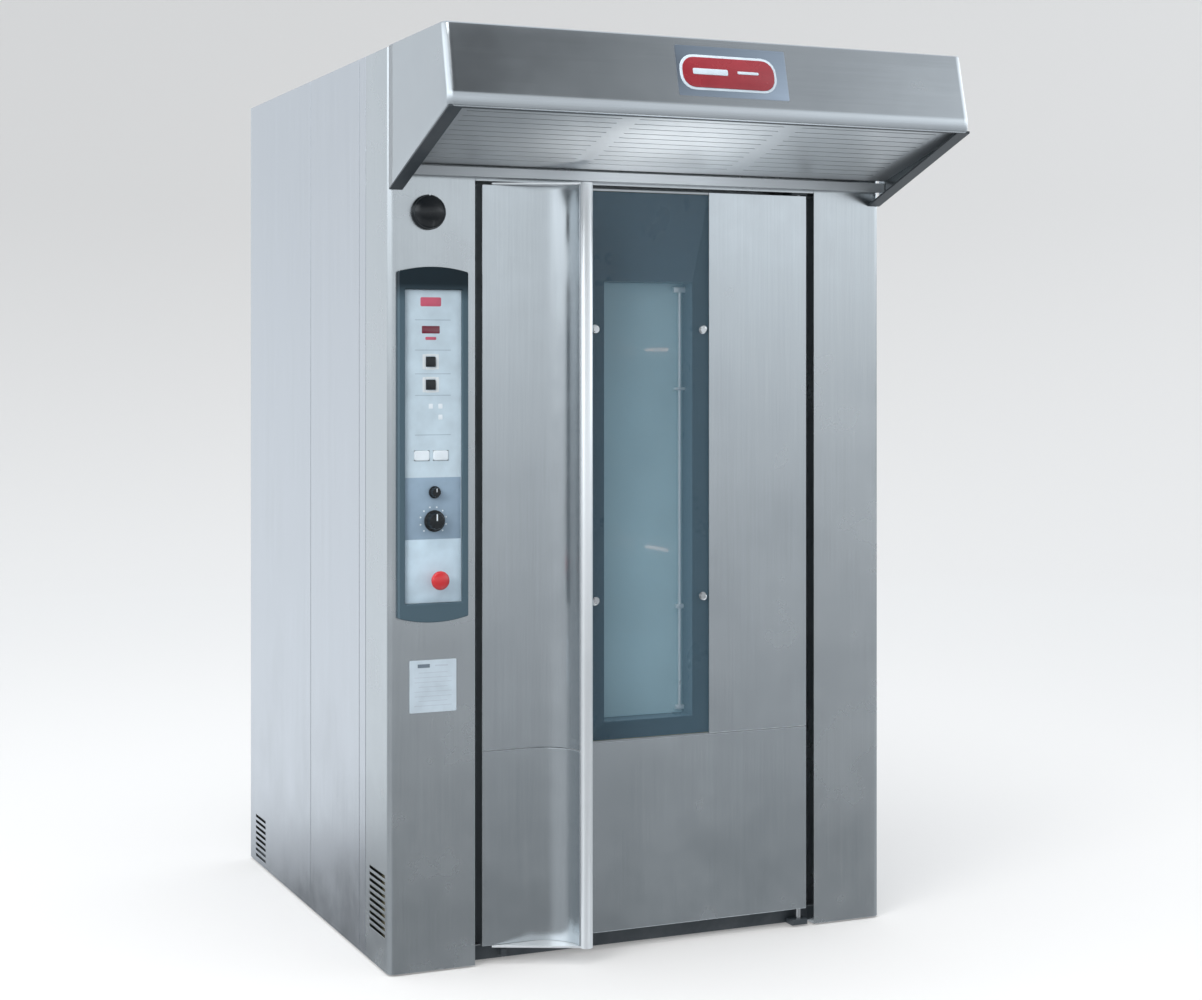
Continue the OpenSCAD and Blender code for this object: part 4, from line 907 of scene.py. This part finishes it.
def build_glass():
    """The panes get their coatings and polished edges, the bolts domed heads, and the inner pane its
    holding rod with a foot and clips."""
    split_pane("outer_pane", finishes["pane_glass"], False, ["door_glass"])
    split_pane("inner_pane", pane("inner_coating", (0.70, 0.94, 1.0), 0.62), True)
    rod_x, rod_y, rod_r = 0.130, span("door_glass")[1][1] - 0.014, 0.005
    rod_foot, rod_top, clip_d = 0.640, 1.828, 0.012
    upright_rod("pane_rod", rod_x, rod_y, (rod_foot, rod_top), rod_r, "door", "pull_steel")
    for name, z, w, h in (("top", rod_top, 0.040, 0.016), ("upper", 1.548, 0.034, 0.008),
                          ("lower", 0.933, 0.024, 0.012), ("foot", rod_foot + 0.008, 0.026, 0.012)):
        place = (rod_x - 0.001, rod_y + rod_r, z)
        mesh = edged_plate(f"rod_clip_{name}", place, (w, h), 0.002, clip_d, 0.0015)
        finish_mesh(add_piece(f"rod_clip_{name}", mesh, "door", finishes["pull_steel"]))
    lo, hi = span("glass_bolts")
    r = 0.0075
    xs, zs = (lo[0] + r, hi[0] - r), (lo[2] + r, hi[2] - r)
    places = [(x, lo[1] + 0.004, z) for x in xs for z in zs]
    heads = studs("glass_bolt_heads", places, 0.009, 0.004, "-y", 24)
    finish_mesh(add_piece("glass_bolt_heads", heads, "door", finishes["pull_steel"]))


build_glass()


# ---- Chamber lamps and small fasteners ----

def build_lamps():
    """A glowing tube along the front of each lamp glass: a ring of points carried along its length."""
    lo, hi = span("chamber_lamps")
    half = 0.027
    glow = lamp_glass("lamp_filament", (1.0, 0.66, 0.54), 1.8)
    turn = np.linspace(0, 2 * np.pi, 16, endpoint=False)
    for i, z in enumerate((lo[2] + half, hi[2] - half)):
        ends = np.array([[lo[1] + 0.012, 0.8], [lo[1] + 0.014, 1], [hi[1] - 0.014, 1], [hi[1] - 0.012, 0.8]])
        rings = [np.column_stack([lo[0] - 0.003 + 0.005 * k * np.cos(turn), np.full(16, y),
                                  z + 0.005 * k * np.sin(turn)]) for y, k in ends]
        tube = ring_solid("lamp_tube", rings)
        finish_mesh(add_piece(f"lamp_tube_{i}", tube, "cabinet", glow))


build_lamps()


def build_screws():
    """Rows of domed screws along the edges of the rear panels and the roof deck."""
    lo, hi = span("rear_panel")
    xs = np.concatenate([np.full(9, lo[0] + 0.018), np.full(9, hi[0] - 0.018)])
    zs = np.tile(np.linspace(lo[2] + 0.06, hi[2] - 0.06, 9), 2)
    rear = np.column_stack([xs, np.full(18, hi[1]), zs])
    steel = finishes["shaft_steel"]
    finish_mesh(add_piece("rear_screws", studs("rear_screws", rear, 0.0055, 0.0022, "+y"), "cabinet",
                          steel))
    lo, hi = span("roof_deck")
    ys = np.linspace(lo[1] + 0.05, hi[1] - 0.05, 8)
    deck = np.concatenate([np.column_stack([np.full(8, x), ys, np.full(8, hi[2])])
                           for x in (lo[0] + 0.015, hi[0] - 0.015)])
    finish_mesh(add_piece("roof_screws", studs("roof_screws", deck, 0.005, 0.002, "+z"), "cabinet",
                          steel))


build_screws()


# ---- Room, light and camera ----

def build_stage():
    """A pale floor that curves up into a wall all round: a profile of floor, quarter circle and
    wall turned about the upright axis."""
    reach, sweep, wall, segments = 12.0, 3.0, 11.0, 96
    turn = np.linspace(0, np.pi / 2, 16)
    radius = np.concatenate([[0.01, 3, 6, 8], reach - sweep + sweep * np.sin(turn), [reach, reach]])
    height = np.concatenate([[0, 0, 0, 0], sweep * (1 - np.cos(turn)), [sweep + 4, wall]])
    rings = turned_rings(np.column_stack([radius, height]), segments)
    points = rings.reshape(-1, 3)
    mesh = bpy.data.meshes.new("floor")
    faces = grid_faces(len(radius), segments, wrap_cols=True).tolist() + [list(range(segments))]
    mesh.from_pydata(points.tolist(), [], faces)
    mesh.polygons.foreach_set("use_smooth", np.ones(len(mesh.polygons), bool))
    floor = bpy.data.objects.new("floor", mesh)
    bpy.context.scene.collection.objects.link(floor)
    material, _, shader = finish("floor_paint")
    shader.inputs["Base Color"].default_value = (0.60, 0.59, 0.58, 1)
    shader.inputs["Roughness"].default_value = 0.9
    shader.inputs["Emission Color"].default_value = (0.95, 0.93, 0.91, 1)
    shader.inputs["Emission Strength"].default_value = 0.24
    mesh.materials.append(material)
    floor.visible_glossy = False
    floor.visible_diffuse = False
    floor.visible_shadow = False


SKY_LOW, SKY_HIGH = -0.6, 1.0
SKY_TINT = (0.94, 0.995, 1.05)
FRONT_SKY = ((-0.6, 0.5), (-0.53, 0.45), (-0.44, 0.14), (-0.24, 0.22), (-0.19, 0.40), (-0.02, 0.60))
LEFT_SKY = FRONT_SKY + ((0.08, 1.36), (0.25, 0.85), (0.38, 0.12), (0.75, 0.18), (1.0, 1.1))
RIGHT_SKY = FRONT_SKY + ((0.08, 1.28), (0.25, 0.85), (0.38, 0.50), (0.75, 0.55), (1.0, 1.1))
SIDE_SKY = ((-0.6, 0.8), (-0.3, 0.40), (-0.05, 0.52), (0.05, 0.70), (0.12, 2.2), (0.5, 1.3), (1.0, 1.1))
BACK_SKY = ((-0.6, 0.80), (-0.31, 0.70), (-0.285, 0.12), (-0.232, 0.12), (-0.215, 1.0), (0.0, 0.90),
            (0.1, 0.82), (0.5, 0.80), (1.0, 1.1))


def scalar(tree, operation, first, *others):
    """A socket put through a math node with each of the others in turn."""
    for other in others or (None,):
        node = tree.nodes.new("ShaderNodeMath")
        node.operation = operation
        tree.links.new(first, node.inputs[0])
        if other is not None:
            tree.links.new(other, node.inputs[1])
        first = node.outputs[0]
    return first


def build_sky():
    """A soft studio dome. Its brightness follows the height of the direction, with one run of
    brightness for each side of the room, and three soft patches lie over them: a darker one low in
    front on the left, a bright one that the hood's underside sees, and a lamp high on the left."""
    world = bpy.data.worlds.new("studio")
    bpy.context.scene.world = world
    world.use_nodes = True
    tree = world.node_tree
    coords = tree.nodes.new("ShaderNodeTexCoord")
    parts = tree.nodes.new("ShaderNodeSeparateXYZ")
    tree.links.new(coords.outputs["Generated"], parts.inputs["Vector"])
    across, depth, up = parts.outputs["X"], parts.outputs["Y"], parts.outputs["Z"]
    height = spread(tree, up, 0, 1, SKY_LOW, SKY_HIGH)

    def side_of_room(pairs):
        reach = SKY_HIGH - SKY_LOW
        tones = [((z - SKY_LOW) / reach, tuple(v * c for c in SKY_TINT)) for z, v in pairs]
        return ramp(tree, height, tones)

    def rising(socket, start, end):
        return spread(tree, socket, 0, 1, start, end)

    def falling(socket, start, end):
        return spread(tree, socket, 1, 0, start, end)

    front = mixed(tree, rising(across, 0.30, 0.47), side_of_room(LEFT_SKY), side_of_room(RIGHT_SKY))
    shade = scalar(tree, "MULTIPLY", rising(up, 0.085, 0.10), falling(up, 0.17, 0.24),
                   falling(across, 0.37, 0.395))
    front = mixed(tree, shade, front, (0.74, 0.79, 0.83, 1))
    tone = mixed(tree, rising(depth, -0.25, 0.35), front, side_of_room(BACK_SKY))
    aside = scalar(tree, "ABSOLUTE", across)
    tone = mixed(tree, rising(aside, 0.55, 0.80), tone, side_of_room(SIDE_SKY))
    below = scalar(tree, "MULTIPLY", falling(up, -0.49, -0.45), rising(across, 0.385, 0.41),
                   falling(across, 0.45, 0.53))
    tone = mixed(tree, below, tone, (1.75, 1.85, 1.95, 1))
    toward = tree.nodes.new("ShaderNodeVectorMath")
    toward.operation = "DOT_PRODUCT"
    tree.links.new(coords.outputs["Generated"], toward.inputs[0])
    toward.inputs[1].default_value = (-0.46, -0.50, 0.734)
    tone = mixed(tree, rising(toward.outputs["Value"], 0.975, 0.99), tone, (4.0, 4.1, 4.2, 1))
    tree.links.new(tone, tree.nodes["Background"].inputs["Color"])
    tree.nodes["Background"].inputs["Strength"].default_value = 1.0


def soft_light(name, place, target, size, power):
    """A square area light that faces its target and shows in no reflection."""
    light = bpy.data.lights.new(name, "AREA")
    light.shape = "SQUARE"
    light.size = size
    light.energy = power
    lamp = bpy.data.objects.new(name, light)
    bpy.context.scene.collection.objects.link(lamp)
    lamp.location = place
    aim = np.array(target, float) - np.array(place, float)
    lamp.rotation_euler = (
        math.atan2(math.hypot(aim[0], aim[1]), -aim[2]), 0, math.atan2(aim[1], aim[0]) - math.pi / 2
    )
    lamp.visible_glossy = False
    lamp.visible_camera = False
    return light


def build_camera():
    camera = bpy.data.cameras.new("camera")
    camera.lens = 62.56
    camera.sensor_width = 36
    camera.shift_y = -0.1125
    camera.clip_end = 60
    holder = bpy.data.objects.new("camera", camera)
    bpy.context.scene.collection.objects.link(holder)
    holder.location = (-2.450, -5.762, 1.616)
    holder.rotation_euler = (math.radians(90), 0, math.radians(-23.69))
    bpy.context.scene.camera = holder


build_stage()
build_sky()
soft_light("top_light", (-0.5, -1.5, 6.0), (0, 0, 0), 4.0, 170)
under_light = soft_light("under_light", (-0.10, -0.78, 1.30), (-0.10, -0.7799, 2.2), 0.4, 1.1)
under_light.shape = "RECTANGLE"
under_light.size_y = 0.08
under_light.spread = math.radians(44)
soft_light("left_light", (-5.0, -3.5, 3.5), (0, 0, 1.2), 2.5, 150)
build_camera()
bpy.context.scene.view_settings.view_transform = "Standard"
